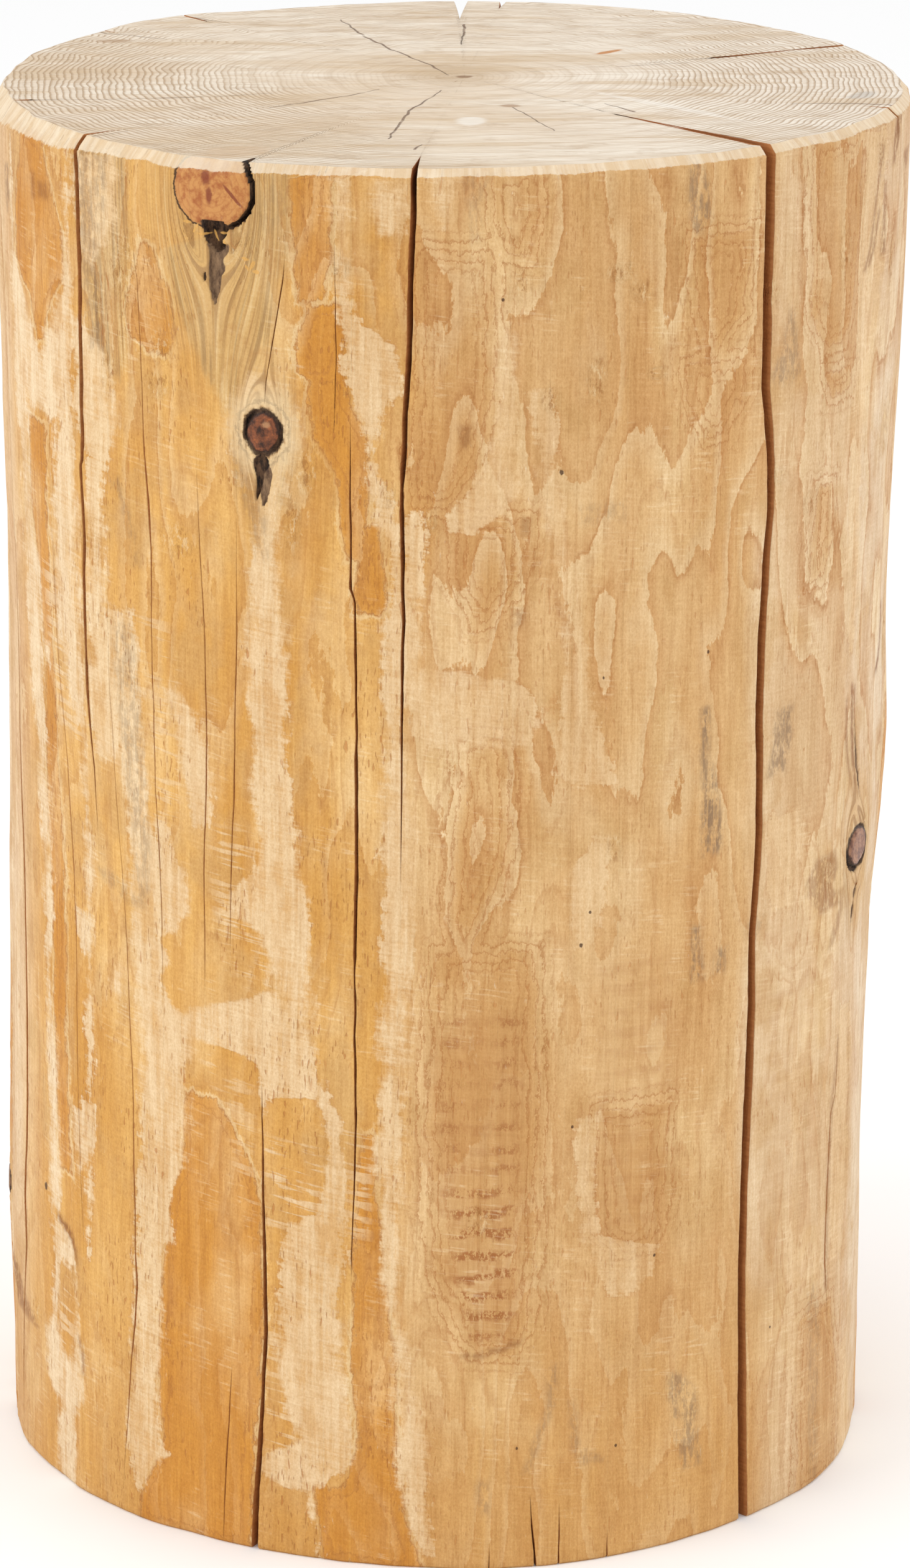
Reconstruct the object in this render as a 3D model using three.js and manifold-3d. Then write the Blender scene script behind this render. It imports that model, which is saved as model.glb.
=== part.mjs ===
// A debarked softwood log that stands on its sawn foot, used as a stool, a side table or a plinth.
// One grown piece of wood, so it is one solid. Millimetres, +Z up.
// The origin is on the foot face, on the line that the log is measured from.
// Azimuths are in degrees from the front (-Y), positive towards +X, so the back is at 180.

import * as THREE from 'three';
import Module from 'manifold-3d';
import { mergeVertices } from 'three/addons/utils/BufferGeometryUtils.js';

const HEIGHT = 450;
const AZIMUTH_STEPS = 72;
const LEVEL_COUNT = 19;
const FOOT_BEVEL = 1;

// The outline of the two ends: azimuth, radius at the foot, radius at the head.
// It is round at the front, with a flat and two ridges at the back left.
const OUTLINE = [
  [-165, 143, 143],
  [-155, 143, 141.5],
  [-142, 146, 150.5],
  [-133, 147, 151],
  [-125, 147.5, 146],
  [-115, 148, 148],
  [-90, 150, 145.5],
  [-75, 149, 147],
  [-55, 147.5, 147],
  [-30, 144, 144.5],
  [-10, 144.5, 141.5],
  [15, 144.5, 139.5],
  [40, 141.5, 141],
  [60, 140.5, 144],
  [85, 134.5, 145.5],
  [110, 137, 143],
  [135, 138, 143],
  [165, 141, 146],
  [180, 142, 146],
];

// The sawn rim is broken by a rough chamfer: azimuth, drop of its lower edge, inset of its upper edge.
const RIM = [
  [-130, 1.5, 1],
  [-95, 4, 2.5],
  [-75, 7, 5],
  [-45, 4, 4],
  [0, 2, 3],
  [45, 2.5, 3],
  [75, 3, 3],
  [105, 1.5, 1],
  [180, 1, 0.8],
];

// Branch knots and the swelling of the trunk around each one. The last is a healed-over stub.
const KNOTS = [
  { azimuth: -30, height: 440, radius: 13.5, swelling: 2 },
  { azimuth: -23.7, height: 368, radius: 6, swelling: 0.8 },
  { azimuth: 66.5, height: 212, radius: 8, swelling: 1.8 },
  { azimuth: -84, height: 70, radius: 9, swelling: 1.5 },
  { azimuth: 90, height: 228, radius: 16, swelling: 2.6 },
];
const SWELLING_SPREAD = 2.2;

// How much slimmer the trunk is halfway up than straight lines between its ends would make it.
const WAIST = 1.5;

// The drawknife leaves the side slightly wavy.
const WAVES = [
  { lobes: 5, length: 310, size: 0.5 },
  { lobes: 9, length: 190, size: 0.35 },
  { lobes: 14, length: 260, size: 0.25 },
];

// Drying checks: wedges that open at the surface. Each path point is azimuth, height, mouth width.
// A path that starts above the head or ends below the foot runs out through that end face.
const PAST_THE_END = 6;
const ABOVE = HEIGHT + PAST_THE_END;
const BELOW = -PAST_THE_END;
const CHECKS = [
  {
    name: 'widest check, right of the front, foot to head',
    depth: 66,
    path: [
      [40.8, ABOVE, 4], [40.7, 400, 4], [41.3, 375, 3.8], [43.3, 335, 3.6], [41.8, 290, 3.4],
      [41.1, 200, 3.2], [42.4, 150, 3.6], [41.2, 95, 3.6], [41.6, 50, 4], [42.9, BELOW, 4.2],
    ],
  },
  {
    name: 'front check, from the head',
    depth: 34,
    path: [
      [-5, ABOVE, 2.6], [-5.4, 415, 2.6], [-6.2, 365, 2.3],
      [-6.5, 340, 1.7], [-6.6, 290, 1.2], [-6.7, 235, 0.4],
    ],
  },
  {
    name: 'front check, middle stretch',
    depth: 12,
    path: [[-12.8, 370, 0.4], [-12.8, 330, 0.8], [-12.4, 260, 1], [-12.7, 200, 1], [-12.8, 118, 0.4]],
  },
  {
    name: 'front left check, from the head',
    depth: 18,
    path: [
      [-53.5, ABOVE, 1.6], [-54, 390, 1.6], [-53.5, 345, 1.5], [-52.4, 290, 1.1], [-50.6, 228, 0.4],
    ],
  },
  {
    name: 'lower left check, from the foot',
    depth: 16,
    path: [[-25.2, 152, 0.5], [-24.9, 100, 1.2], [-25.6, 40, 1.8], [-26.5, BELOW, 2.4]],
  },
  {
    name: 'left check',
    depth: 20,
    path: [[-74, 335, 0.6], [-72.8, 250, 1.8], [-71.6, 150, 2.6], [-72.3, 85, 2.4], [-74, 14, 0.8]],
  },
  {
    name: 'wide notch at the back',
    depth: 64,
    path: [[179.5, ABOVE, 4.6], [178, 380, 3.6], [176, 260, 2.4], [177, 140, 0.6]],
  },
  {
    name: 'short notch at the back',
    depth: 26,
    path: [[173.5, ABOVE, 2.2], [172.5, 400, 1.4], [173, 345, 0.5]],
  },
  {
    name: 'right back check',
    depth: 50,
    path: [[116, ABOVE, 1.8], [117, 390, 1.6], [115, 300, 1.2], [116.5, 190, 0.5]],
  },
  {
    name: 'right check, at the rim',
    depth: 14,
    path: [[72, ABOVE, 1.2], [71.8, 437, 0.5]],
  },
];

// The bark gap beside a knot is an arc at part of its ring, from one clock angle to another
// (degrees, 0 at the knot's right, 90 at its top).
const BARK_GAPS = [
  { knot: 0, from: 35, to: -80, width: 1.5, depth: 9 },
  { knot: 1, from: 200, to: -20, width: 1.2, depth: 4 },
  { knot: 2, from: 300, to: 10, width: 1.4, depth: 4 },
];
const BARK_GAP_STEPS = 12;

// Pockets where bark or a branch collar has fallen out, below the knots.
const POCKETS = [
  {
    name: 'pocket below the big knot',
    depth: 8,
    path: [[-31, 432, 1], [-30.4, 425, 8], [-30.2, 415, 5], [-30, 403, 1]],
  },
  {
    name: 'pocket below the small knot',
    depth: 3,
    path: [[-23.8, 361, 1], [-23.6, 353, 4], [-23.4, 344, 0.8]],
  },
];

const SURFACE_OVERSHOOT = 4;

const wasm = await Module();
wasm.setup();

// ---------------------------------------------------------------- the surface of the trunk

// Reads one column of a table of azimuths, easing smoothly from row to row around the log.
function around(table, column, azimuth) {
  const next = table.findIndex((row) => row[0] > azimuth);
  const after = next === -1 ? 0 : next;
  const before = (after + table.length - 1) % table.length;
  const span = (table[after][0] - table[before][0] + 360) % 360;
  const part = ((azimuth - table[before][0] + 360) % 360) / span;
  const eased = THREE.MathUtils.smoothstep(part, 0, 1);
  return THREE.MathUtils.lerp(table[before][column], table[after][column], eased);
}

function turnBetween(azimuth, other) {
  return ((azimuth - other + 540) % 360) - 180;
}

function swellingAt(azimuth, height, radius) {
  let swelling = 0;
  for (const knot of KNOTS) {
    const aside = THREE.MathUtils.degToRad(turnBetween(azimuth, knot.azimuth)) * radius;
    const away = Math.hypot(aside, height - knot.height) / (knot.radius * SWELLING_SPREAD);
    swelling += knot.swelling * Math.exp(-away * away);
  }
  return swelling;
}

function waveAt(azimuth, height) {
  const turn = THREE.MathUtils.degToRad(azimuth);
  let sum = 0;
  for (const wave of WAVES) {
    sum += wave.size * Math.sin(wave.lobes * turn + 2 * Math.PI * height / wave.length);
  }
  return sum;
}

function trunkRadius(azimuth, height) {
  const share = THREE.MathUtils.clamp(height / HEIGHT, 0, 1);
  const straight = THREE.MathUtils.lerp(around(OUTLINE, 1, azimuth), around(OUTLINE, 2, azimuth), share);
  const radius = straight - WAIST * Math.sin(Math.PI * share);
  return radius + swellingAt(azimuth, height, radius) + waveAt(azimuth, height);
}

function pointAt(azimuth, height, radius) {
  const turn = THREE.MathUtils.degToRad(azimuth);
  return new THREE.Vector3(Math.sin(turn) * radius, -Math.cos(turn) * radius, height);
}

// ---------------------------------------------------------------- solids

function toSolid(geometry) {
  geometry.deleteAttribute('normal');
  geometry.deleteAttribute('uv');
  const merged = mergeVertices(geometry);
  return new wasm.Manifold(new wasm.Mesh({
    numProp: 3,
    vertProperties: new Float32Array(merged.attributes.position.array),
    triVerts: new Uint32Array(merged.index.array),
  }));
}

function toGeometry(solid) {
  const mesh = solid.getMesh();
  const geometry = new THREE.BufferGeometry();
  geometry.setAttribute('position', new THREE.BufferAttribute(new Float32Array(mesh.vertProperties), 3));
  geometry.setIndex(new THREE.BufferAttribute(new Uint32Array(mesh.triVerts), 1));
  geometry.computeVertexNormals();
  return geometry;
}

// Radius and height of one ring of the trunk. The first two rings make the foot's bevel
// and the last two make the chamfer of the head.
function ringAt(azimuth, level) {
  const rimDrop = around(RIM, 1, azimuth);
  if (level === 0) {
    return { radius: trunkRadius(azimuth, 0) - FOOT_BEVEL, height: 0 };
  }
  if (level === LEVEL_COUNT) {
    return { radius: trunkRadius(azimuth, HEIGHT) - around(RIM, 2, azimuth), height: HEIGHT };
  }
  const share = (level - 1) / (LEVEL_COUNT - 2);
  const height = THREE.MathUtils.lerp(FOOT_BEVEL, HEIGHT - rimDrop, share);
  return { radius: trunkRadius(azimuth, height), height };
}

// A unit cylinder whose rings are moved onto the trunk's surface.
function makeTrunk() {
  const billet = new THREE.CylinderGeometry(1, 1, 1, AZIMUTH_STEPS, LEVEL_COUNT);
  billet.rotateX(Math.PI / 2);
  const position = billet.attributes.position;
  const point = new THREE.Vector3();
  for (let index = 0; index < position.count; index += 1) {
    point.fromBufferAttribute(position, index);
    const onRing = Math.round(Math.hypot(point.x, point.y));
    const azimuth = THREE.MathUtils.radToDeg(Math.atan2(point.x, -point.y));
    const level = Math.round((point.z + 0.5) * LEVEL_COUNT);
    const ring = ringAt(azimuth, level);
    const moved = pointAt(azimuth, ring.height, ring.radius * onRing);
    position.setXYZ(index, moved.x, moved.y, moved.z);
  }
  return toSolid(billet);
}

// A wedge swept along a path on the surface: its mouth stands proud of the wood
// and its edge lies inside, shallower where the mouth is narrower.
function makeWedge({ path, depth }) {
  const widest = Math.max(...path.map((stop) => stop[2]));
  const onSurface = path.map(([azimuth, height]) => pointAt(azimuth, height, trunkRadius(azimuth, height)));
  const corners = [];
  path.forEach(([azimuth, height, width], index) => {
    const outward = pointAt(azimuth, 0, 1);
    const ahead = onSurface[Math.min(index + 1, path.length - 1)];
    const behind = onSurface[Math.max(index - 1, 0)];
    const across = new THREE.Vector3().subVectors(ahead, behind).cross(outward).normalize();
    const reach = depth * Math.sqrt(width / widest);
    const halfMouth = width / 2 * (reach + SURFACE_OVERSHOOT) / reach;
    const mouth = onSurface[index].clone().addScaledVector(outward, SURFACE_OVERSHOOT);
    const edge = onSurface[index].clone().addScaledVector(outward, -reach);
    corners.push(mouth.clone().addScaledVector(across, halfMouth));
    corners.push(mouth.clone().addScaledVector(across, -halfMouth));
    corners.push(edge);
  });
  const faces = [0, 1, 2];
  for (let stop = 0; stop < path.length - 1; stop += 1) {
    for (let side = 0; side < 3; side += 1) {
      const here = stop * 3 + side;
      const beside = stop * 3 + (side + 1) % 3;
      faces.push(here, beside + 3, beside);
      faces.push(here, here + 3, beside + 3);
    }
  }
  const last = (path.length - 1) * 3;
  faces.push(last, last + 2, last + 1);
  const wedge = new THREE.BufferGeometry().setFromPoints(corners);
  wedge.setIndex(faces);
  return toSolid(wedge);
}

// The path of a bark gap: an arc of the knot's ring laid on the trunk.
function barkGapPath({ knot, from, to, width }) {
  const { azimuth, height, radius } = KNOTS[knot];
  const degreesPerMillimetre = THREE.MathUtils.radToDeg(1 / trunkRadius(azimuth, height));
  const path = [];
  for (let step = 0; step <= BARK_GAP_STEPS; step += 1) {
    const share = step / BARK_GAP_STEPS;
    const clock = THREE.MathUtils.degToRad(THREE.MathUtils.lerp(from, to, share));
    const aside = Math.cos(clock) * radius * degreesPerMillimetre;
    const taper = 0.3 + 0.7 * Math.sin(share * Math.PI);
    path.push([azimuth + aside, height + Math.sin(clock) * radius, width * taper]);
  }
  return path;
}

// ---------------------------------------------------------------- the log

let solid = makeTrunk();
for (const wedge of [...CHECKS, ...POCKETS]) {
  solid = solid.subtract(makeWedge(wedge));
}
for (const gap of BARK_GAPS) {
  solid = solid.subtract(makeWedge({ path: barkGapPath(gap), depth: gap.depth }));
}

const wood = new THREE.MeshStandardMaterial({ name: 'wood', color: 0xd9a866, roughness: 0.85, metalness: 0 });
const log = new THREE.Mesh(toGeometry(solid), wood);
log.name = 'log';

const part = new THREE.Group();
part.add(log);

export default part;
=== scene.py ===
import math

import bpy
import numpy as np
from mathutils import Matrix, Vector
from mathutils.bvhtree import BVHTree


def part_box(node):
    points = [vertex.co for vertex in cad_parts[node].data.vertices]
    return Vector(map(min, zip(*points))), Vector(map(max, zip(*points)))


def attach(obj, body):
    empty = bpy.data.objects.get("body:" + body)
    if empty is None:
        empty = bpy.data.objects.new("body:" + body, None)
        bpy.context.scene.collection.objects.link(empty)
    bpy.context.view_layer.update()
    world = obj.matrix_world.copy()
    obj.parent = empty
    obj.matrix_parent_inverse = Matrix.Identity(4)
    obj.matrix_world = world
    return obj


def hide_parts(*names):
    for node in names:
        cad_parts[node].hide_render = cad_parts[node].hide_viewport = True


# A debarked log that stands on its foot. The shape below is in millimetres and degrees: azimuth 0 is the
# front (-Y) and grows towards +X, height 0 is the foot. It is turned into metres when a mesh is made.

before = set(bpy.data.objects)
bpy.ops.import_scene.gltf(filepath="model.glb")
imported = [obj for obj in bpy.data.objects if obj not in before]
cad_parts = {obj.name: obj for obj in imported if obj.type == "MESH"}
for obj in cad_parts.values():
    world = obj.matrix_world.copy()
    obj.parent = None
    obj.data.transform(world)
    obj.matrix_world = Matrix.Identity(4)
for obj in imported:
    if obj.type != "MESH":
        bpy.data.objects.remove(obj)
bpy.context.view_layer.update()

MM = 0.001
LOW, HIGH = (np.array(corner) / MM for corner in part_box("log"))
HEIGHT = HIGH[2] - LOW[2]
GIRTH_RADIUS = 143.0
ARC = math.radians(GIRTH_RADIUS)      # millimetres of girth in one degree

# ---------------------------------------------------------------- what the log's surface shows

# Drying checks: stops of (height, azimuth, width), the depth at the widest stop, and how far the walls lean
# sideways for each millimetre of depth. Beyond its stops a check keeps its last azimuth and width.
CHECKS = [
    dict(depth=14, slant=0.1, side=[(450, -77, 0.5), (335, -74, 0.6), (300, -73, 1.0), (250, -72.8, 1.8),
        (212, -72.2, 2.2), (150, -71.6, 2.6), (112, -72, 2.8), (88, -72.6, 2.4), (70, -71.9, 2.0),
        (50, -73, 1.2), (25, -73.8, 1.6), (12, -74, 0.2)]),
    dict(depth=2.5, side=[(332, -59.2, 0), (315, -59, 0.3), (290, -58.9, 0.4), (275, -58.4, 0.5),
        (250, -57, 0.6), (225, -56.3, 0.7), (200, -55.9, 0.6), (175, -55.2, 0.5), (130, -54.7, 0.4),
        (100, -54, 0.3), (88, -53.7, 0)]),
    dict(depth=14, slant=0.12, side=[(450, -52.4, 2.0), (400, -52.2, 2.0), (388, -52.4, 1.9),
        (349, -51.9, 1.8), (347, -52.2, 1.6), (325, -51.5, 1.7), (295, -51.3, 1.4), (275, -51.2, 1.1),
        (250, -50.4, 0.8), (228, -50, 0)]),
    dict(depth=2, side=[(300, -47.2, 0), (275, -46.9, 0.25), (217, -45.3, 0.3), (174, -44.4, 0.4),
        (117, -43.7, 0.5), (92, -43.2, 0.6), (80, -42.9, 0.8), (68, -43.3, 0.8), (55, -43.9, 0.5),
        (30, -44.8, 0.4), (8, -45.5, 0)]),
    dict(depth=3, side=[(420, -42, 0), (410, -41.6, 0.3), (362, -41.2, 0.4), (350, -40.9, 0.7),
        (338, -40.5, 0.9), (325, -40, 0.5), (300, -39.7, 0.4), (250, -39.4, 0.4), (225, -38.9, 0.35),
        (200, -38.7, 0.3), (180, -38.5, 0)]),
    dict(depth=2, side=[(352, -32.9, 0), (330, -32.6, 0.3), (300, -31.9, 0.35), (267, -31.7, 0.5),
        (225, -32, 0.45), (200, -31.9, 0.3), (186, -31.8, 0)]),
    dict(depth=2, side=[(340, -27.2, 0), (300, -27.2, 0.35), (250, -27.7, 0.45), (215, -28.2, 0.3),
        (198, -28.2, 0), (62, -27.6, 0), (50, -27.9, 0.4), (30, -28.4, 0.5), (12, -28.7, 0.4),
        (2, -28.8, 0)]),
    dict(depth=12, slant=0.12, side=[(422, -20.8, 0), (415, -21.1, 0.4), (400, -22.2, 0.4),
        (384, -23.3, 0.3), (376, -23.5, 0), (158, -23.5, 0), (150, -23.4, 0.4), (125, -23.1, 0.9),
        (100, -22.9, 1.2), (75, -22.7, 1.5), (55, -23, 1.3), (37, -23.4, 1.8), (18, -23.9, 2.1),
        (0, -24.2, 2.5)]),
    dict(depth=1.6, side=[(428, -14.6, 0), (405, -14.5, 0.3), (382, -14.5, 0.3), (370, -14.6, 0)]),
    dict(depth=8, slant=0.2, side=[(374, -12.6, 0), (350, -12.5, 0.6), (330, -12.3, 0.8), (321, -12.3, 0.9),
        (317, -11.7, 0.7), (300, -11.6, 0.9), (275, -11.4, 0.9), (250, -11.4, 1.2), (225, -11.4, 1.2),
        (205, -11.6, 1.1), (198, -11.5, 0.5), (190, -11.3, 0.8), (150, -10.8, 0.8), (125, -10.8, 0.5),
        (105, -11, 0.3), (95, -11, 0)]),
    dict(depth=20, slant=0.3, side=[(450, -5, 1.7), (432, -5.1, 1.9), (420, -5.3, 1.9), (400, -5.5, 1.9),
        (385, -5.7, 1.8), (357, -6, 1.7), (352, -6.1, 1.0), (345, -6.1, 1.6), (330, -5.9, 1.4),
        (310, -5.6, 1.2), (290, -5.7, 1.0), (275, -5.75, 0.8), (255, -5.75, 0.5), (240, -5.8, 0.3),
        (226, -5.8, 0)]),
    dict(depth=4, side=[(9, 6.8, 0), (0, 6.8, 0.4)]),
    dict(depth=6, side=[(25, 11.9, 0), (14, 12.2, 0.5), (0, 12.7, 0.8)]),
    dict(depth=5, side=[(22, 15.6, 0), (10, 15.7, 0.5), (0, 15.6, 0.5)]),
    dict(depth=4, side=[(10, 22.1, 0), (0, 22.1, 0.6)]),
    dict(depth=66, side=[(450, 42.3, 4.1), (400, 42.5, 4.0), (385, 42.7, 3.9), (375, 42.9, 3.8),
        (350, 44.4, 3.4), (335, 44.7, 3.2), (325, 44.4, 3.3), (300, 43.8, 3.6), (275, 43.4, 3.6),
        (235, 43.4, 3.4), (200, 42.6, 3.1), (175, 42.9, 3.4), (150, 42.9, 3.6), (125, 42.6, 3.4),
        (95, 42.5, 3.4), (75, 42.5, 3.4), (50, 42.8, 3.8), (25, 43.1, 4.0), (0, 43.4, 4.2)]),
    dict(depth=2.5, side=[(162, 62.4, 0), (150, 62.2, 0.5), (132, 61.9, 0.7), (128, 60.8, 0.6),
        (100, 60.5, 0.8), (75, 60.5, 0.8), (55, 61.6, 0)]),
    dict(depth=8, side=[(450, 71.8, 1.3), (443, 71.9, 1.0), (437, 72.3, 0), (208, 69.4, 0), (204, 69, 0.6),
        (199, 67.2, 1.0), (194, 66.2, 1.2), (188, 65.8, 0.8), (178, 66, 0)]),
    dict(depth=2, side=[(400, 99, 0), (340, 98.4, 0.5), (250, 99.3, 0.6), (180, 98.8, 0)]),
    dict(depth=50, side=[(450, 116, 1.8), (390, 117, 1.6), (300, 115, 1.2), (190, 116.5, 0)]),
    dict(depth=6, side=[(260, 133, 0), (190, 133.5, 0.8), (90, 132.6, 1.1), (0, 133, 1.0)]),
    dict(depth=3, side=[(450, 152, 0.5), (380, 151, 0.6), (310, 152, 0)]),
    dict(depth=14, side=[(450, 173.5, 2.2), (400, 172.5, 1.4), (345, 173, 0)]),
    dict(depth=34, side=[(450, 179.3, 4.6), (380, 178, 3.6), (260, 176, 2.4), (140, 177, 0)]),
    dict(depth=3, side=[(300, -165, 0), (200, -164.2, 0.7), (60, -165, 0.6), (20, -165.2, 0)]),
    dict(depth=2, side=[(450, -159, 0), (400, -158.6, 0.4), (280, -158, 0)]),
    dict(depth=14, side=[(450, -142, 1.0), (400, -141, 0.8), (330, -141.5, 0)]),
    dict(depth=6, side=[(450, -127, 0.8), (420, -126.6, 0.5), (390, -127, 0)]),
    dict(depth=4, side=[(250, -111, 0), (160, -110.4, 0.8), (40, -111, 1.2), (0, -111.4, 1.4)]),
    dict(depth=2, side=[(440, -96, 0), (350, -96.4, 0.5), (240, -95.8, 0)]),
]

# Shakes and knife-thin checks on the sawn head: stops of (x, y, width).
HEAD_LINES = [
    [(-137, -32, 0.9), (-110, -30, 0.7), (-92, -27, 0.5), (-75, -25, 0.4), (-58, -20, 0.1)],
    [(-113, -93, 0.8), (-108, -87, 0.5), (-100, -80, 0.1)],
    [(-57, -43, 0.6), (-44, -32, 1.0), (-33, -23, 0.8), (-24, -14, 0.2)],
    [(-20, -92, 0.5), (-17, -68, 1.0), (-14, -50, 0.9), (-10, -35, 0.6), (-4, -15, 0.2)],
    [(-12, -108, 0.9), (-10, -101, 0.2)],
    [(-38, 110, 0.3), (-32, 85, 0.8), (-25, 67, 0.9), (-18, 50, 0.8), (-8, 28, 0.6), (-2, 10, 0.3)],
    [(52, 25, 0.2), (63, 29, 0.4), (75, 33, 0.2)],
    [(75, 38, 0.3), (100, 48, 0.6), (125, 62, 0.4)],
    [(56, -50, 1.2), (51, -43, 0.6), (47, -36, 0.1)],
    [(137, -45, 1.4), (135, -38, 1.3), (125, -36, 0.9), (105, -37, 0.2)],
    [(3, 100, 1.0), (3, 80, 0.6), (2, 64, 0.1)],
    [(-92, 118, 0.7), (-75, 103, 0.2)],
    [(-117, 85, 0.7), (-95, 73, 0.2)],
    [(18, -43, 0.3), (24, -60, 0.4), (30, -80, 0.1)],
    [(92, -98, 1.0), (84, -88, 0.6), (76, -80, 0.3)],
]

# Branch knots: centre, half width and half height, the gap left by lost bark, and how the knot tilts.
KNOTS = [
    dict(name="rim", azimuth=-30, height=441.5, across=13.3, up=12.5, gap=1.0, gap_depth=7, tilt=0.0),
    dict(name="small", azimuth=-23.7, height=368, across=5.7, up=6.6, gap=1.1, gap_depth=1.6, tilt=0.0,
         rough=0.45),
    dict(name="right", azimuth=67.2, height=212.5, across=9.6, up=6.6, gap=1.5, gap_depth=1.8, tilt=0.18),
    dict(name="left", azimuth=-86, height=82, across=7, up=5, gap=1.4, gap_depth=2.0, tilt=0.0),
    dict(name="back", azimuth=140, height=330, across=9, up=10, gap=1.3, gap_depth=2.0, tilt=0.1),
    dict(name="back_low", azimuth=-150, height=120, across=7, up=8, gap=1.2, gap_depth=1.8, tilt=-0.1),
]

# Pockets below the knots: kind, azimuth at the bottom and top, stops of (height, width), depth.
POCKETS = [
    ("black", (-29.4, -29.8), [(432, 9), (430, 10.5), (428, 9), (426, 6.5), (424, 4), (422.5, 1)], 4.0),
    ("tail", (-30.0, -29.4), [(425, 7.5), (420, 6.5), (414, 5), (410, 2.8), (406.5, 0.5)], 2.0),
    ("black", (-31.4, -31.2), [(415.5, 0.4), (414, 2.0), (412.5, 0.5)], 1.4),
    ("black", (-24.5, -23.8), [(361.5, 1), (359, 5.5), (357, 5), (354, 2.6), (349, 1.4), (346, 0.3)], 1.6),
    ("tail", (-23.6, -23.2), [(358, 1), (355, 4), (351, 4.6), (347.5, 2.4), (345, 0.4)], 1.4),
    ("tail", (66.0, 67.0), [(201, 0.6), (197, 3.6), (194, 1.5), (190, 3.6), (187, 0.5)], 1.2),
    ("tail", (68.2, 65.6), [(256, 0.5), (248, 2.2), (240, 3.4), (232, 2), (228, 0.5)], 0.8),
]

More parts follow.
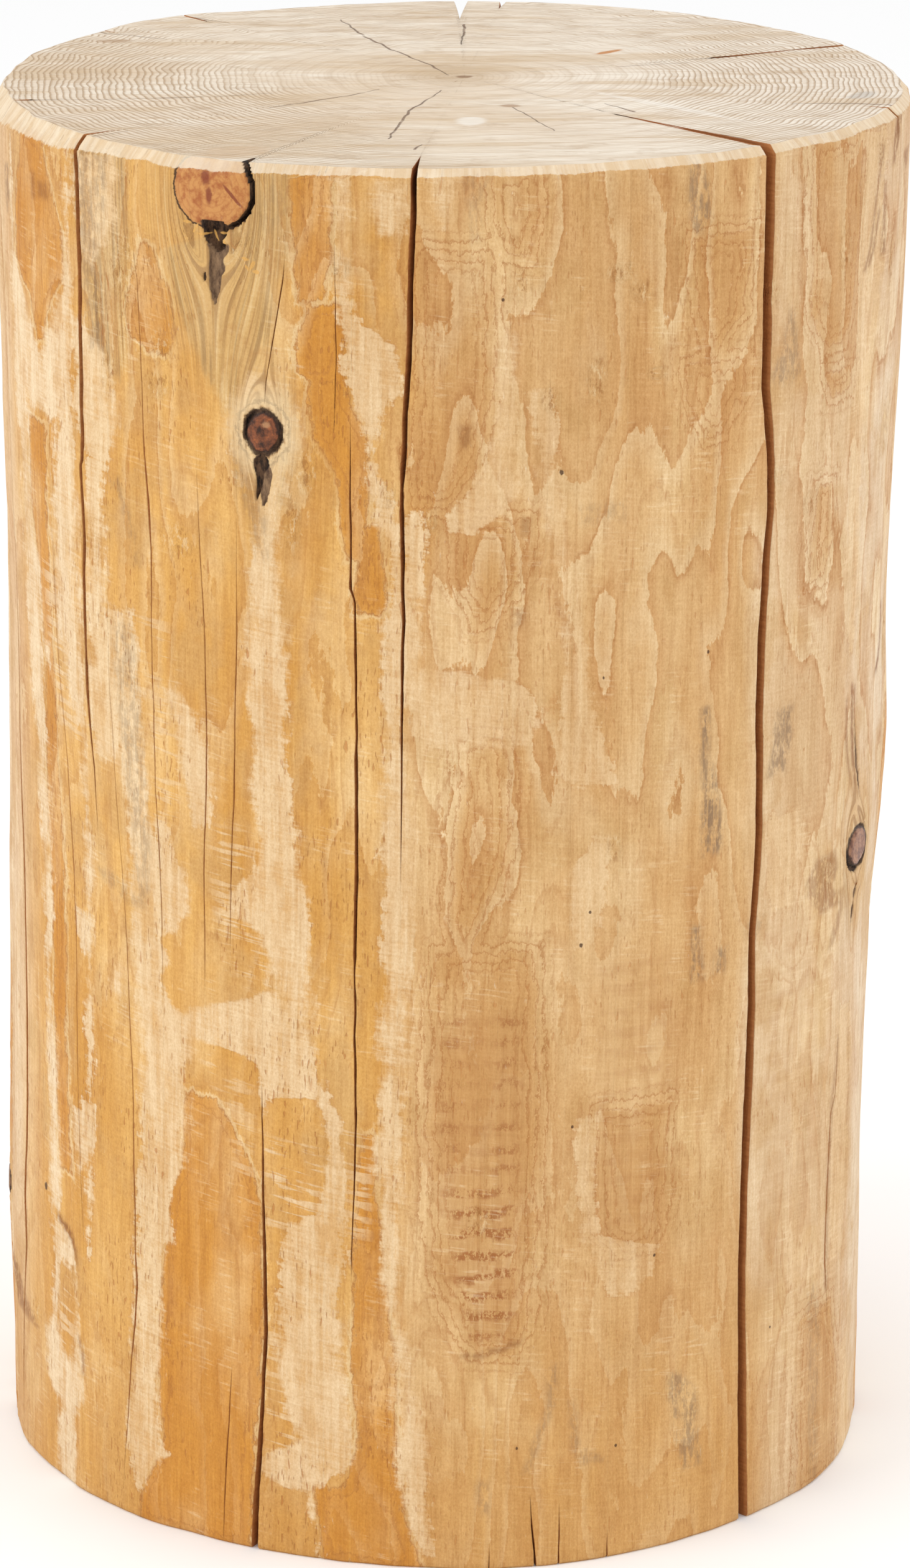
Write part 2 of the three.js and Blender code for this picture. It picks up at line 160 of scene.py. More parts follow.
# Patches of the side, as bands down the log: stops of (height, left azimuth, right azimuth).
# The knife has bared pale wood in these.
PALE = [
    [(452, -71, -54), (400, -71, -54.4), (372, -70, -53.8), (340, -69, -53), (310, -68, -52.5),
     (288, -67, -52)],
    [(300, -68, -63), (275, -67, -63.2), (250, -65.5, -63), (225, -64.5, -62.8), (200, -64, -62),
     (175, -63.5, -61.8), (150, -62.8, -61), (125, -62.3, -60.6), (92, -62.5, -60)],
    [(91, -62.5, -58), (85, -62.5, -56.4), (80, -62.3, -55.2), (70, -62, -55), (55, -63, -55),
     (48, -64, -54.4), (33, -64, -54.5), (28, -61, -55), (0, -60, -56)],
    [(446, -53, -44.5), (430, -53, -45), (418, -52.5, -47), (412, -52, -50)],
    [(392, -53.8, -52.5), (385, -53.6, -48), (375, -53.4, -46), (365, -53.2, -44.5), (357, -52.8, -46),
     (350, -51.5, -47.5), (335, -51, -48.5), (310, -51, -48), (290, -51.5, -46), (270, -51, -45.5),
     (256, -50, -45)],
    [(305, -47.5, -42.5), (290, -46.8, -41.8), (270, -46, -41), (255, -45.5, -40.6), (240, -44, -40.4),
     (225, -43.2, -39.3), (212, -45, -36.5), (206, -44.5, -37.8), (200, -44, -39), (193, -43.4, -37.5),
     (187, -42.9, -39.2), (180, -42.8, -37.5), (175, -42.6, -33.5), (165, -41.8, -33.6), (158, -42, -34.8),
     (150, -42, -35.1), (137, -42.3, -35.3), (125, -42.9, -35.4), (118, -42.9, -37.2), (112, -42.9, -38.3),
     (106, -43, -37.5), (100, -43.2, -36.9), (96, -43.2, -38.4), (90, -43, -38.7), (75, -43.4, -39),
     (62, -43.8, -39.1), (50, -44.1, -39.3), (37, -44.7, -39.3), (30, -45, -38.5), (25, -45, -37.8),
     (20, -44.4, -39.6), (15, -43.8, -41), (10, -42.6, -42)],
    [(283, -39, -36), (275, -37, -33.5), (262, -35.5, -32), (250, -34.5, -30.8), (240, -33.5, -31)],
    [(237, -39, -37), (228, -39, -36.5), (218, -38.8, -34), (208, -38.5, -35.5), (202, -38.5, -37.5)],
    [(362, -27.5, -20.5), (350, -26, -21.4), (335, -25.4, -21.8), (320, -25.3, -21.8), (305, -25.6, -21.2),
     (298, -26.2, -20.4), (285, -26.2, -20.2), (275, -25, -20), (262, -24.6, -20.4), (250, -24.6, -20.2),
     (238, -24.4, -19.6), (228, -25.5, -18.6), (220, -28.4, -18), (213, -28, -17.8), (208, -24, -17.6),
     (200, -22.4, -17.4), (190, -22, -17.1), (185, -22.5, -17)],
    [(190, -22.5, -17), (186, -25.5, -16.9), (183, -29.5, -16.9), (180, -34, -16.9), (175, -36, -16.8),
     (170, -35.5, -16.4), (168, -27, -16), (165, -24.2, -15.8), (157, -24, -15.3), (154, -24, -22.8),
     (149, -23.7, -23.2)],
    [(162, -16.6, -15.2), (155, -15.4, -14.4), (150, -14.9, -12.4), (140, -14.6, -11.8),
     (130, -14.8, -11.7), (120, -15.2, -11.5), (112, -15.5, -11.5)],
    [(118, -15.6, -12), (114, -19.5, -11.9), (108, -20.8, -11.8), (100, -20.3, -12), (92, -20.2, -12.4),
     (87, -20.5, -12.6), (80, -21, -12.4), (75, -20.8, -12.3), (65, -21, -12), (58, -20.4, -11.6),
     (50, -19.6, -10.9), (45, -18.5, -10.4), (40, -18, -10.6), (36, -20.5, -11), (33, -23.4, -11.6),
     (30, -23.6, -12.2), (27, -23.4, -14), (25, -22, -15), (22.5, -18, -16.4)],
    [(24, -17.2, -16.2), (12, -16.2, -15.4), (0, -15.4, -14.8)],
    [(447, -14.8, -13), (425, -14.3, -13), (410, -14, -13), (403, -13.8, -11.6), (397, -13.6, -7.5),
     (391, -13.4, -6.4), (383, -12.8, -6.3), (375, -11.6, -8.8), (365, -10.6, -9.4), (355, -10.2, -8.8),
     (345, -9.5, -6.5), (335, -8, -6.2), (320, -7.5, -4), (305, -8, -3.5), (295, -8.2, -3), (280, -8, -5.9),
     (262, -7.4, -4.5), (250, -8, -4.5), (235, -8.2, -3.8), (225, -7.8, -3.6), (212, -8.2, -3.4),
     (200, -7.9, -4.2), (187, -7.8, -4.5), (175, -7.5, -5.1), (165, -7.2, -5.1), (157, -7.8, -4.9),
     (150, -7.9, -4.8), (140, -8.3, -4.8), (132, -7.8, -4.9), (125, -7.5, -5.1), (112, -6.9, -5.3),
     (100, -6.6, -5.1), (87, -5.9, -4.5), (75, -5.1, -3.9), (62, -4.9, -2.7), (50, -4.8, -1.8),
     (37, -4.8, -1.2), (25, -4.2, -0.6), (12, -3.3, 0), (4, -1.5, 0.2)],
    [(445, -9.8, -5.6), (438, -10.5, -5.5), (432, -9, -5.6)],
    [(449, -2.2, -0.5), (440, -1.6, -0.3), (434, -0.8, -0.2)],
    [(386, -25.4, -22.4), (381, -27.6, -20.6), (370, -28.2, -19.9), (360, -27.8, -20.2),
     (350, -26.6, -20.8)],
    [(410, 5.5, 6), (395, 5.6, 7.5), (380, 5.4, 8), (370, 4.8, 8.3), (360, 3.5, 8.3), (352, 2, 8.2),
     (346, 0.2, 6.5), (340, 0, 3)],
    [(344, -5.5, -3.6), (335, -6, -3), (320, -6, -3.4), (314, -5.8, -4.6)],
    [(382, 8.5, 12), (370, 10.5, 12.5), (355, 11, 13), (345, 11.5, 14), (335, 12.5, 15), (325, 13.8, 16),
     (312, 14.5, 16.5), (300, 15, 18), (285, 14, 18.5), (275, 13.8, 19.5), (262, 13.5, 21),
     (258, 16, 21.5)],
    [(297, -5, -2), (292, -5, 8.5), (285, -4, 11), (278, -5, 11.5), (272, -3, 10)],
    [(240, 19, 21.5), (230, 15.8, 20.5), (215, 15.6, 20), (205, 16, 19.5)],
    [(150, 17.5, 20), (125, 17.6, 19.6), (110, 18.5, 20), (103, 19.6, 29.5), (97, 20.4, 29),
     (90, 22.5, 26.5)],
    [(445, 62, 67.5), (420, 61.5, 67), (400, 61.5, 68.5), (375, 61.5, 66), (350, 61, 64.5), (325, 61, 63.5),
     (300, 62, 65), (280, 62.5, 64)],
    [(235, 45, 51), (225, 44.8, 52), (212, 45.2, 51.5), (205, 46, 50)],
    [(160, 62.5, 66), (125, 61, 66), (95, 61.5, 67), (75, 62, 67)],
    [(40, 66, 69), (20, 65.8, 71), (0, 66, 72)],
    [(150, 51, 53.2), (100, 51.5, 53.4), (60, 52, 54), (30, 52.5, 54.5)],
]

# Old, darker surface that was left standing inside the pale patches above.
AMBER_IN_PALE = [
    [(446, -70.8, -54.6), (425, -70.5, -54.7), (407, -70, -54.9), (402, -68.5, -55), (398, -67, -57),
     (392, -65, -58.8), (385, -63.5, -59.8), (378, -62, -60.3)],
    [(359, -65.6, -57.2), (340, -66, -58.5), (325, -65.8, -58.6), (305, -63.2, -58.8), (275, -63, -57.6),
     (262, -63.2, -56.2), (255, -63, -52), (248, -63, -49.5), (240, -63, -46), (225, -62.8, -44.6),
     (200, -62.2, -44.5), (175, -61.6, -43.4), (150, -61, -42.6), (125, -60.6, -43), (92, -60, -43.4),
     (85, -56.4, -43.6), (70, -54.8, -43.8), (50, -54.2, -44.6), (35, -54.5, -45), (0, -56, -46.5)],
    [(352, -52.6, -50.6), (330, -52.3, -50.8), (300, -51.7, -50.6), (285, -51, -50)],
    [(76, -60, -56), (62, -60.5, -55.8), (45, -60, -56)],
]

# Where the knife then bared a little more.
PALE_IN_AMBER = [
    [(303, -58, -53.2), (290, -57.6, -52.6), (278, -56, -52), (262, -54.5, -51.8)],
    [(262, -53, -52.1), (200, -53, -52), (160, -52.8, -51.8), (100, -52.6, -52), (85, -52.4, -52.1)],
    [(200, -56, -53.4), (192, -55.8, -51.4), (186, -54, -51.6)],
    [(188, -47, -45), (180, -48.6, -45.6), (176, -48, -46.5)],
    [(136, -54, -51.2), (128, -56.4, -51), (120, -56, -51.4), (114, -54, -52.2)],
    [(346, -57.8, -55.2), (332, -57.6, -55), (320, -57, -55.4), (312, -56.4, -55.8)],
    [(283, -62.8, -61), (276, -62.6, -61.4)],
]

# The most saturated, resin-stained wood.
DEEP = [
    [(420, -40.4, -38.8), (412, -42, -37.4), (405, -43, -36.6), (398, -43.4, -36.2), (392, -42.4, -36.4),
     (389, -40, -37)],
    [(408, -18, -13.4), (400, -19.2, -13.2), (392, -19.2, -14), (387, -18.8, -14.8), (385, -17.5, -16)],
    [(387, -17.6, -13.6), (378, -17.8, -12.8), (368, -17.2, -10.4), (355, -14, -10), (340, -13.6, -10.6),
     (331, -12.6, -10.8)],
    [(340, -10.5, -8.8), (325, -11.4, -7.8), (315, -11.4, -8)],
    [(446, -66.5, -60.5), (420, -68.5, -56), (405, -68, -55.6), (396, -64, -58.5), (384, -61.6, -60.4)],
    [(355, -65, -60.5), (330, -65.4, -61), (310, -63.8, -60.5), (280, -62.4, -60.4), (240, -62.4, -59.5),
     (200, -61.8, -58.5), (150, -60.4, -57.8), (110, -60, -57)],
    [(150, -35, -30), (135, -35, -26), (125, -35.3, -24), (118, -37, -23.6), (105, -37.3, -23.4),
     (95, -38.2, -23.4), (80, -38.8, -23.2), (55, -39.2, -23.6), (30, -38, -24.6), (22, -39.6, -25),
     (10, -41.8, -25), (0, -42.5, -25)],
    [(25, -16, -5), (12, -15, -4), (0, -14.4, -2.5)],
    [(145, -10, -8.6), (100, -10.4, -7), (70, -10.6, -5.2), (40, -10, -5), (20, -12, -4), (0, -14, -2)],
    [(450, -14.4, -11), (446, -20, -15), (425, -19.5, -15.2), (410, -19, -16)],
]

# Old grey-brown surface round the upper knots.
WEATHERED = [
    [(448, -52, -43), (430, -51.6, -43), (415, -51.4, -43.6), (400, -51, -44), (385, -50, -44),
     (378, -47, -45)],
    [(448, -24.6, -20.8), (432, -25.5, -21), (421, -37, -21.5), (405, -35.5, -22.5), (392, -33, -24),
     (380, -30, -25.5), (374, -28.5, -27)],
]

# Bands where pale and old wood alternate in thin level stripes, with how strong they are.
COMB = [
    (1.0, [(140, -23.2, -15), (132, -23, -14.8), (126, -22.8, -15), (112, -22.6, -16)]),
    (0.9, [(76, -22.4, -20.4), (66, -22.4, -20.4), (60, -22, -20)]),
    (0.8, [(57, -22.6, -18), (36, -23, -18)]),
    (0.7, [(240, -31, -24.6), (226, -31, -24), (210, -30, -22.4), (194, -27, -21.6), (187, -25, -22)]),
    (0.5, [(165, -33, -24.5), (145, -28, -24.5), (118, -27, -24)]),
    (0.6, [(310, -62, -52.4), (285, -61, -52), (256, -58, -51.6)]),
    (0.6, [(305, -42, -38), (290, -41, -36), (262, -40, -35), (240, -39.4, -36)]),
    (0.7, [(152, -14.8, -9), (130, -14.8, -8.6), (112, -11.6, -9)]),
    (0.6, [(78, -60, -56), (60, -60.5, -55.8), (30, -60, -55.5)]),
]

# Bands that the knife left where it chattered, with how strong they are.
CHATTER = [
    (0.62, [(186, -0.4, 3), (150, -0.6, 3), (118, 0.6, 4)]),
    (0.72, [(186, 6.6, 9.6), (150, 6.4, 10), (118, 6.6, 10.6)]),
    (0.34, [(186, 0, 9.6), (150, 0, 10), (118, 0.6, 10.6)]),
    (0.95, [(128, 1.2, 9.6), (100, 1.8, 10), (85, 3.2, 9.8), (78, 4.4, 8.6)]),
    (0.25, [(200, 19.5, 30), (160, 19.8, 31), (125, 20.4, 30.4), (108, 21.5, 28)]),
    (0.15, [(200, 44, 56), (120, 45, 57), (40, 46, 58)]),
]

# Slightly darker rings that the knife crossed on the right half.
TAN = [
    [(424, 31, 39.5), (412, 31.5, 39), (400, 32.5, 38.5), (392, 33.5, 35.5), (388, 34, 34.8)],
    [(385, 30.5, 39), (375, 31, 38.8), (368, 32.5, 37), (364, 34, 36)],
    [(448, 50, 61), (425, 50, 60.5), (400, 50.5, 59.8), (390, 52, 59), (384, 54, 57.5)],
    [(441, 53, 56.4), (432, 53.4, 56.4), (428, 54, 56)],
    [(374, 54, 60), (368, 55, 59.8)],
    [(425, -4.4, 4.6), (400, -4.6, 5), (380, -4.8, 4.6), (356, -5, 2.4), (348, -4.6, -0.4)],
    [(274, 1.5, 6.8), (262, 1.6, 7.6), (240, 1, 7.6), (215, 0.6, 4.2), (205, 1.2, 3)],
    [(342, 1, 9.6), (325, 0.8, 8.6), (318, 2.4, 7), (312, 4, 5)],
    [(150, 20, 30), (125, 20.2, 29.5), (110, 21, 29), (104, 24, 27.5)],
    [(205, -1, 11), (150, -1.6, 12), (120, -1.2, 12.2), (100, 0.2, 12), (88, 1.6, 11.6), (80, 3, 10.8),
     (74, 5, 9)],
    [(338, 53.5, 56), (325, 52.6, 56.6), (310, 52.8, 55.4)],
    [(60, 54, 62), (30, 54, 66), (0, 54, 65)],
    [(448, 4.6, 9.6), (436, 5, 10), (425, 6.4, 8.4)],
]

# Grey weathering and soot-dark smudges: stops as above, with how strong each is.
GREY = [
    (0.55, [(446, -53, -46), (425, -52.6, -47.5), (405, -51.5, -48.5), (385, -50.5, -47.5)]),
    (0.8, [(432, -73.6, -71.6), (424, -73.4, -71.4), (418, -72.6, -71.6)]),
    (0.45, [(346, -47, -45), (338, -45, -43.5), (328, -43.6, -42.2), (320, -42.6, -41.8)]),
    (0.5, [(300, -46.4, -42.8), (275, -45.6, -41.6), (255, -44.6, -41), (228, -43, -40.4),
     (210, -42.6, -41)]),
    (0.4, [(217, -50.5, -46.5), (213, -49, -44.5), (209, -44.6, -41.4)]),
    (0.75, [(449, 30, 31.6), (440, 29.8, 33), (430, 30.4, 33.4), (427, 31, 32)]),
    (0.6, [(399, 46.4, 47.2), (388, 45.4, 48), (378, 43.8, 48.8), (375, 44.6, 47.8)]),
    (0.95, [(277, 33.4, 34.8), (262, 33.4, 34.8), (250, 34, 36.4), (240, 33.8, 37.2), (230, 34, 37)]),
    (0.8, [(270, 46.4, 49.8), (260, 46, 49.6), (250, 44.8, 48.6)]),
    (0.85, [(206, 32.8, 34), (196, 32.8, 34.4), (189, 33, 35)]),
    (0.8, [(197, 36.4, 38.4), (190, 36.4, 38)]),
    (0.4, [(204, 41, 44.6), (199, 41.4, 44)]),
    (0.35, [(346, 16, 22), (341, 16, 22)]),
    (0.35, [(448, 1, 4), (438, 1.4, 3.6), (428, 2, 3)]),
    (0.4, [(446, -24, -21.6), (438, -24, -20.4), (430, -24, -22)]),
    (0.45, [(364, -28, -26.6), (352, -27.4, -25), (340, -25.6, -23), (328, -24.6, -22.8)]),
    (0.4, [(380, -22, -20.6), (362, -21, -20.2), (346, -22, -20.8)]),
    (0.7, [(58, 30.6, 32.6), (53, 30.6, 34.4), (47, 31, 35.4), (25, 33, 36)]),
    (0.45, [(70, 56, 58.4), (50, 56.2, 59.6), (25, 56.6, 59.2), (0, 57, 59)]),
    (0.5, [(30, 5, 6.6), (20, 5.4, 7)]),
    (0.5, [(68, 14, 15.6), (55, 14, 15.2), (45, 12.6, 13.6), (33, 11, 12)]),
    (0.5, [(55, 16.8, 17.6), (40, 17.2, 18.4), (34, 18.4, 22)]),
]

# Brown stains, soaked in.
BROWN = [
    (0.55, [(216, 55, 60), (210, 53, 60.6), (205, 53.6, 59), (198, 56, 62)]),
    (0.9, [(287, 76.6, 77.6), (277, 76.4, 77.8), (270, 75.4, 77), (266, 73.4, 76)]),
    (0.8, [(447, 71, 74), (441, 70.2, 73), (434, 70, 71)]),
    (0.7, [(420, 66, 66.8), (410, 65, 66), (404, 63.6, 64.6)]),
    (0.6, [(76.6, 9.4, 11), (75, 7.6, 10), (73.6, 2.6, 7.6), (72.4, 3.4, 6)]),
    (0.9, [(91.4, -60.8, -60), (89.6, -60.4, -57.2), (87, -57.8, -56), (84, -56.4, -55.4),
     (79, -55.4, -55)]),
    (0.8, [(53, -55, -54.4), (49, -54.4, -53.6), (42, -53.8, -53.4)]),
    (0.9, [(268, 63.9, 64.5), (255, 64.0, 65.0), (244, 64.6, 65.8), (236, 65.6, 66.5), (229, 67, 67.7)]),
    (0.8, [(264, 62.3, 62.8), (250, 62.5, 63.1), (240, 63.5, 64.2), (231, 65.2, 65.7)]),
    (0.8, [(267, 64.8, 65.3), (254, 65, 65.5)]),
    (0.7, [(440, 66.4, 67.2), (425, 65.1, 65.8), (410, 64.1, 64.8), (403, 62.6, 63.6)]),
    (0.7, [(428, 67.4, 68), (415, 67.6, 68.4), (406, 67.4, 69)]),
    (0.6, [(434, 75.5, 80.5), (429, 76, 79)]),
    (0.5, [(202, 60, 62.6), (196, 61.4, 62.6), (190, 59.4, 61.6), (184, 58.4, 59.6)]),
    (0.5, [(222, 64.5, 70), (219.6, 63.2, 71.4), (218, 63, 64.4)]),
    (0.5, [(152, 61.9, 62.6), (132, 60.6, 61.6), (100, 60.2, 60.9), (66, 60.4, 61.4)]),
    (0.5, [(434, -63.6, -62), (427, -63.2, -62)]),
    (0.6, [(432, -61.6, -58.8), (428, -61.4, -58)]),
    (0.7, [(58, -83, -76), (52, -80, -72), (46, -77, -67)]),
    (0.8, [(140, 80, 81.6), (120, 80, 82), (106, 80.4, 81.6)]),
    (0.6, [(372, 0.6, 2.4), (366, 1, 2.2)]),
    (0.5, [(343, 8.6, 10), (338, 8.8, 9.8)]),
    (0.5, [(314, 7.8, 9.8), (310, 8.2, 9.4)]),
]

# Dark specks: azimuth, height, size.
SPECKS = [
    (5.9, 410.6, 0.5), (19.7, 291.5, 0.4), (18.3, 216.5, 0.5), (17.2, 206, 0.6), (16.7, 147, 0.45),
    (23.2, 38, 0.5), (10.2, 41, 0.45), (28.4, 100, 0.5), (34.5, 295, 0.5), (47.8, 63.5, 0.4),
    (-64, 98.5, 1.1), (13.6, 357, 0.7),
]

# Golden shavings that cling below the upper knot: azimuth, height, half width, half height, lean.
SHAVINGS = [
    (-33.4, 430.6, 1.6, 0.5, 0.5), (-32.2, 429.2, 0.5, 1.5, -0.6), (-31.4, 427.4, 1.8, 0.4, -0.3),
    (-30.2, 426.6, 0.4, 1.6, 0.5), (-29.2, 427.6, 1.3, 0.4, 0.4), (-28.4, 425.4, 0.4, 1.2, 0.0),
    (-25.8, 421.0, 1.4, 0.6, 0.6), (-24.9, 419.2, 0.7, 1.5, -0.5), (-24.4, 417.2, 1.2, 0.6, 0.3),
    (-25.6, 418.4, 0.5, 1.1, 0.4),
]

# Places where the knife tore the grain instead of cutting it: azimuth, height, half width, half height.
TORN = [
    (-44, 412, 7, 14), (-38.5, 390, 5, 6), (-39, 378, 6, 5), (-47, 378, 4, 8), (-26, 424, 5, 7),
    (-33.5, 428, 4, 6), (-18.5, 356, 5, 8), (21, 417, 6, 3), (24, 411, 5, 4), (18, 385, 4, 8),
    (-36, 330, 8, 6), (-20, 340, 3, 10), (43.5, 404, 3, 5), (57, 412, 4, 12), (26, 385, 4, 2),
    (46, 346, 4, 3), (52, 335, 4, 4), (-2.5, 343, 2, 4), (5, 118, 5, 5), (21.5, 236, 3, 5), (58, 210, 5, 8),
    (-14, 420, 3, 4), (8, 415, 4, 6), (-68, 52, 6, 5), (-78, 55, 5, 8), (66, 440, 4, 8), (72, 400, 3, 12),
    (74, 350, 5, 14), (-8, 350, 3, 4), (12, 380, 3, 5),
]

# How far the rough chamfer of the head drops down the side, and how far it reaches in, by azimuth.
RIM_AZIMUTH = [-180, -130, -95, -75, -45, -10, 20, 45, 75, 105, 180]
RIM_DROP = [1.2, 1.6, 4, 7, 4.2, 2.2, 2.4, 2.8, 3.2, 1.8, 1.2]
RIM_INSET = [0.9, 1.1, 2.5, 4.6, 3.8, 3.0, 3.0, 3.0, 3.0, 1.2, 0.9]

PITH = np.array([3.0, 8.0])

# The trunk leans a little: its middle's place along X by height. Azimuths are taken about this middle.
LEAN_HEIGHT = [0, 60, 120, 180, 210, 300, 390, 450]
LEAN = [-6.4, -6.0, -5.1, -3.6, -2.6, -2.2, -0.2, 0.2]


# ---------------------------------------------------------------- smooth random fields

def read_grid(grid, row, up, x, soft=False):
    """Value between the points of a grid whose columns close round the log. The row is a whole number."""
    column = np.floor(x).astype(int)
    along = x - np.floor(x)
    if soft:
        along, up = along * along * (3 - 2 * along), up * up * (3 - 2 * up)
    left, right = column % grid.shape[1], (column + 1) % grid.shape[1]
    low = grid[row, left] * (1 - along) + grid[row, right] * along
    high = grid[row + 1, left] * (1 - along) + grid[row + 1, right] * along
    return low * (1 - up) + high * up


def field(azimuth, height, cell_around, cell_up, seed):
    """Smooth noise from -1 to 1 that closes round the log. The cells are in millimetres."""
    columns = max(3, round(360 * ARC / cell_around))
    rows = int((HEIGHT + 60) / cell_up) + 4
    values = np.random.default_rng(seed).uniform(-1, 1, (rows, columns))
    x = (np.asarray(azimuth) + 180) / 360 * columns
    y = (np.asarray(height) + 30) / cell_up + 1
    row = np.clip(np.floor(y).astype(int), 0, rows - 2)
    return read_grid(values, row, np.clip(y - row, 0, 1), x, soft=True)


def sample(grid, azimuth, height, step_up):
    """Reads a regular grid of rows up the log and columns round it."""
    y = np.clip(height / step_up, 0, grid.shape[0] - 1.001)
    row = np.floor(y).astype(int)
    return read_grid(grid, row, y - row, (azimuth + 180) / 360 * grid.shape[1])


def smooth_step(value, low, high):
    share = np.clip((value - low) / (high - low), 0, 1)
    return share * share * (3 - 2 * share)


def turn_between(azimuth, other):
    return (azimuth - other + 180) % 360 - 180


# ---------------------------------------------------------------- the trunk's surface

def trunk_grid(step_up=15.0, step_around=0.5):
    """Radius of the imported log, read from outside by rays, with its narrow checks closed over."""
    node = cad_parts["log"]
    tree = BVHTree.FromObject(node, bpy.context.evaluated_depsgraph_get())
    azimuths = np.radians(np.arange(-180, 180, step_around))
    heights = np.arange(0, HEIGHT + step_up, step_up)
    edge = 9.0
    radii = np.empty((len(heights), len(azimuths)))
    for row, height in enumerate(heights):
        level = min(max(height, edge), HEIGHT - edge)
        middle = Vector((np.interp(height, LEAN_HEIGHT, LEAN), 0, level)) * MM
        for column, turn in enumerate(azimuths):
            outward = Vector((math.sin(turn), -math.cos(turn), 0))
            met = tree.ray_cast(middle + outward * 0.4, -outward)[0]
            radii[row, column] = (met - middle).length / MM
    reach = int(4.0 / step_around)
    shifts = range(-reach, reach + 1)
    closed = np.max([np.roll(radii, shift, axis=1) for shift in shifts], axis=0)
    closed = np.min([np.roll(closed, shift, axis=1) for shift in shifts], axis=0)
    soft = np.mean([np.roll(closed, shift, axis=1) for shift in range(-4, 5)], axis=0)
    return soft, step_up


def knife_grid(step_up=2.0, step_around=0.4):
    """How far the drawknife's flat strokes stand from the round trunk, in millimetres (0 or below)."""
    random = np.random.default_rng(11)
    azimuths = np.arange(-180, 180, step_around)
    heights = np.arange(0, HEIGHT + step_up, step_up)
    depth = np.full((len(heights), len(azimuths)), 0.15)
    for _ in range(520):
        azimuth, height = random.uniform(-180, 180), random.uniform(-20, HEIGHT + 20)
        half_length, cut = random.uniform(28, 95), random.uniform(0.15, 0.55)
        bend = random.uniform(110, 190)
        rows = np.where(np.abs(heights - height) < half_length)[0]
        across = turn_between(azimuths, azimuth) * ARC
        columns = np.where(np.abs(across) < 16)[0]
        along = np.abs(heights[rows] - height) / half_length
        stroke = across[columns] ** 2 / (2 * bend) + (along ** 3 * 0.9)[:, None] - cut
        window = np.ix_(rows, columns)
        depth[window] = np.minimum(depth[window], stroke)
    return np.minimum(depth, 0.15), step_up


def band_field(bands, azimuth, height, heights):
    """Millimetres inside the nearest band (negative outside), for a grid of rows at these heights."""
    inside = np.full(azimuth.shape, -9.0)
    for stops in bands:
        stops = sorted(stops)
        levels = [stop[0] for stop in stops]
        left = np.interp(height, levels, [stop[1] for stop in stops])
        right = np.interp(height, levels, [stop[2] for stop in stops])
        aside = np.minimum(azimuth - left, right - azimuth) * ARC
        lengthwise = np.minimum(height - levels[0], levels[-1] - height) + 0.5
        rows = (heights > levels[0] - 12) & (heights < levels[-1] + 12)
        inside[rows] = np.maximum(inside[rows], np.minimum(aside, lengthwise)[rows])
    return np.clip(inside, -9, 9)


def weighted_bands(bands, azimuth, height, heights, edge):
    strength = np.zeros(azimuth.shape)
    for weight, stops in bands:
        inside = band_field([stops], azimuth, height, heights)
        strength = np.maximum(strength, weight * smooth_step(inside, -edge, edge))
    return strength


# ---------------------------------------------------------------- the grid of the side

def path_at(stops, position, column):
    stops = sorted(stops)
    return np.interp(position, [stop[0] for stop in stops], [stop[column] for stop in stops])


def check_width(check, heights):
    """Width down the side. A check that ends at the head or foot runs out there, any other closes."""
    return np.maximum(path_at(check["side"], heights, 2), 0)


def spaced_heights(start, end):
    """Heights from start to end that are closer together beside the knots."""
    heights = [start]
    while heights[-1] < end:
        in_zone = any(low <= heights[-1] <= high for low, high in FINE_HEIGHTS)
        heights.append(heights[-1] + (STEP_UP_FINE if in_zone else STEP_UP))
    return np.array(heights[:-1])


FINE_AZIMUTHS = [(-38, -17), (58, 76)]    # round the knots in front
FINE_HEIGHTS = [(340, HEIGHT), (184, 224)]
STEP_FRONT, STEP_FINE, STEP_BACK = 1.0 / ARC, 0.5 / ARC, 1.5 / ARC
STEP_UP, STEP_UP_FINE = 1.5, 0.85
BACK_FROM = 105.0
LANES = sorted(CHECKS, key=lambda check: np.mean([stop[1] for stop in check["side"]]))
LANE_AZIMUTH = np.array([np.mean([stop[1] for stop in check["side"]]) for check in LANES])
SHOULDER = 0.35 / ARC                   # the grid's first column outside a check, in degrees
DEEP_WALL = [0, 0.03, 0.1, 0.25, 0.5, 0.75, 1, 0.75, 0.5, 0.25, 0.1, 0.03, 0]
SHALLOW_WALL = [0, 0.5, 1, 0.5, 0]


def make_columns():
    """Every column of the grid: its reference azimuth, and its lane and place in it if it is in one."""
    base = []
    position = -180.0
    while position < 180:
        base.append(position)
        in_zone = any(low <= position <= high for low, high in FINE_AZIMUTHS)
        position += STEP_FINE if in_zone else STEP_BACK if abs(position) > BACK_FROM else STEP_FRONT
    columns = []
    for azimuth in base:
        if np.abs(turn_between(LANE_AZIMUTH, azimuth)).min() > 0.3:
            columns.append((azimuth, -1, 0.0, 0))
    for lane, azimuth in enumerate(LANE_AZIMUTH):
        wall = DEEP_WALL if LANES[lane]["depth"] >= 6 else SHALLOW_WALL
        middle = len(wall) // 2
        columns.append((azimuth - 0.04, lane, 0.0, -2))
        columns.append((azimuth + 0.04, lane, 0.0, 2))
        for place, into in enumerate(wall):
            side = -1 if place < middle else 1 if place > middle else 0
            columns.append((azimuth + (place - middle) * 0.002, lane, into, side))
    columns.sort()
    reference, lane, into, side = (np.array(part) for part in zip(*columns))
    return reference, lane.astype(int), into, side.astype(int)


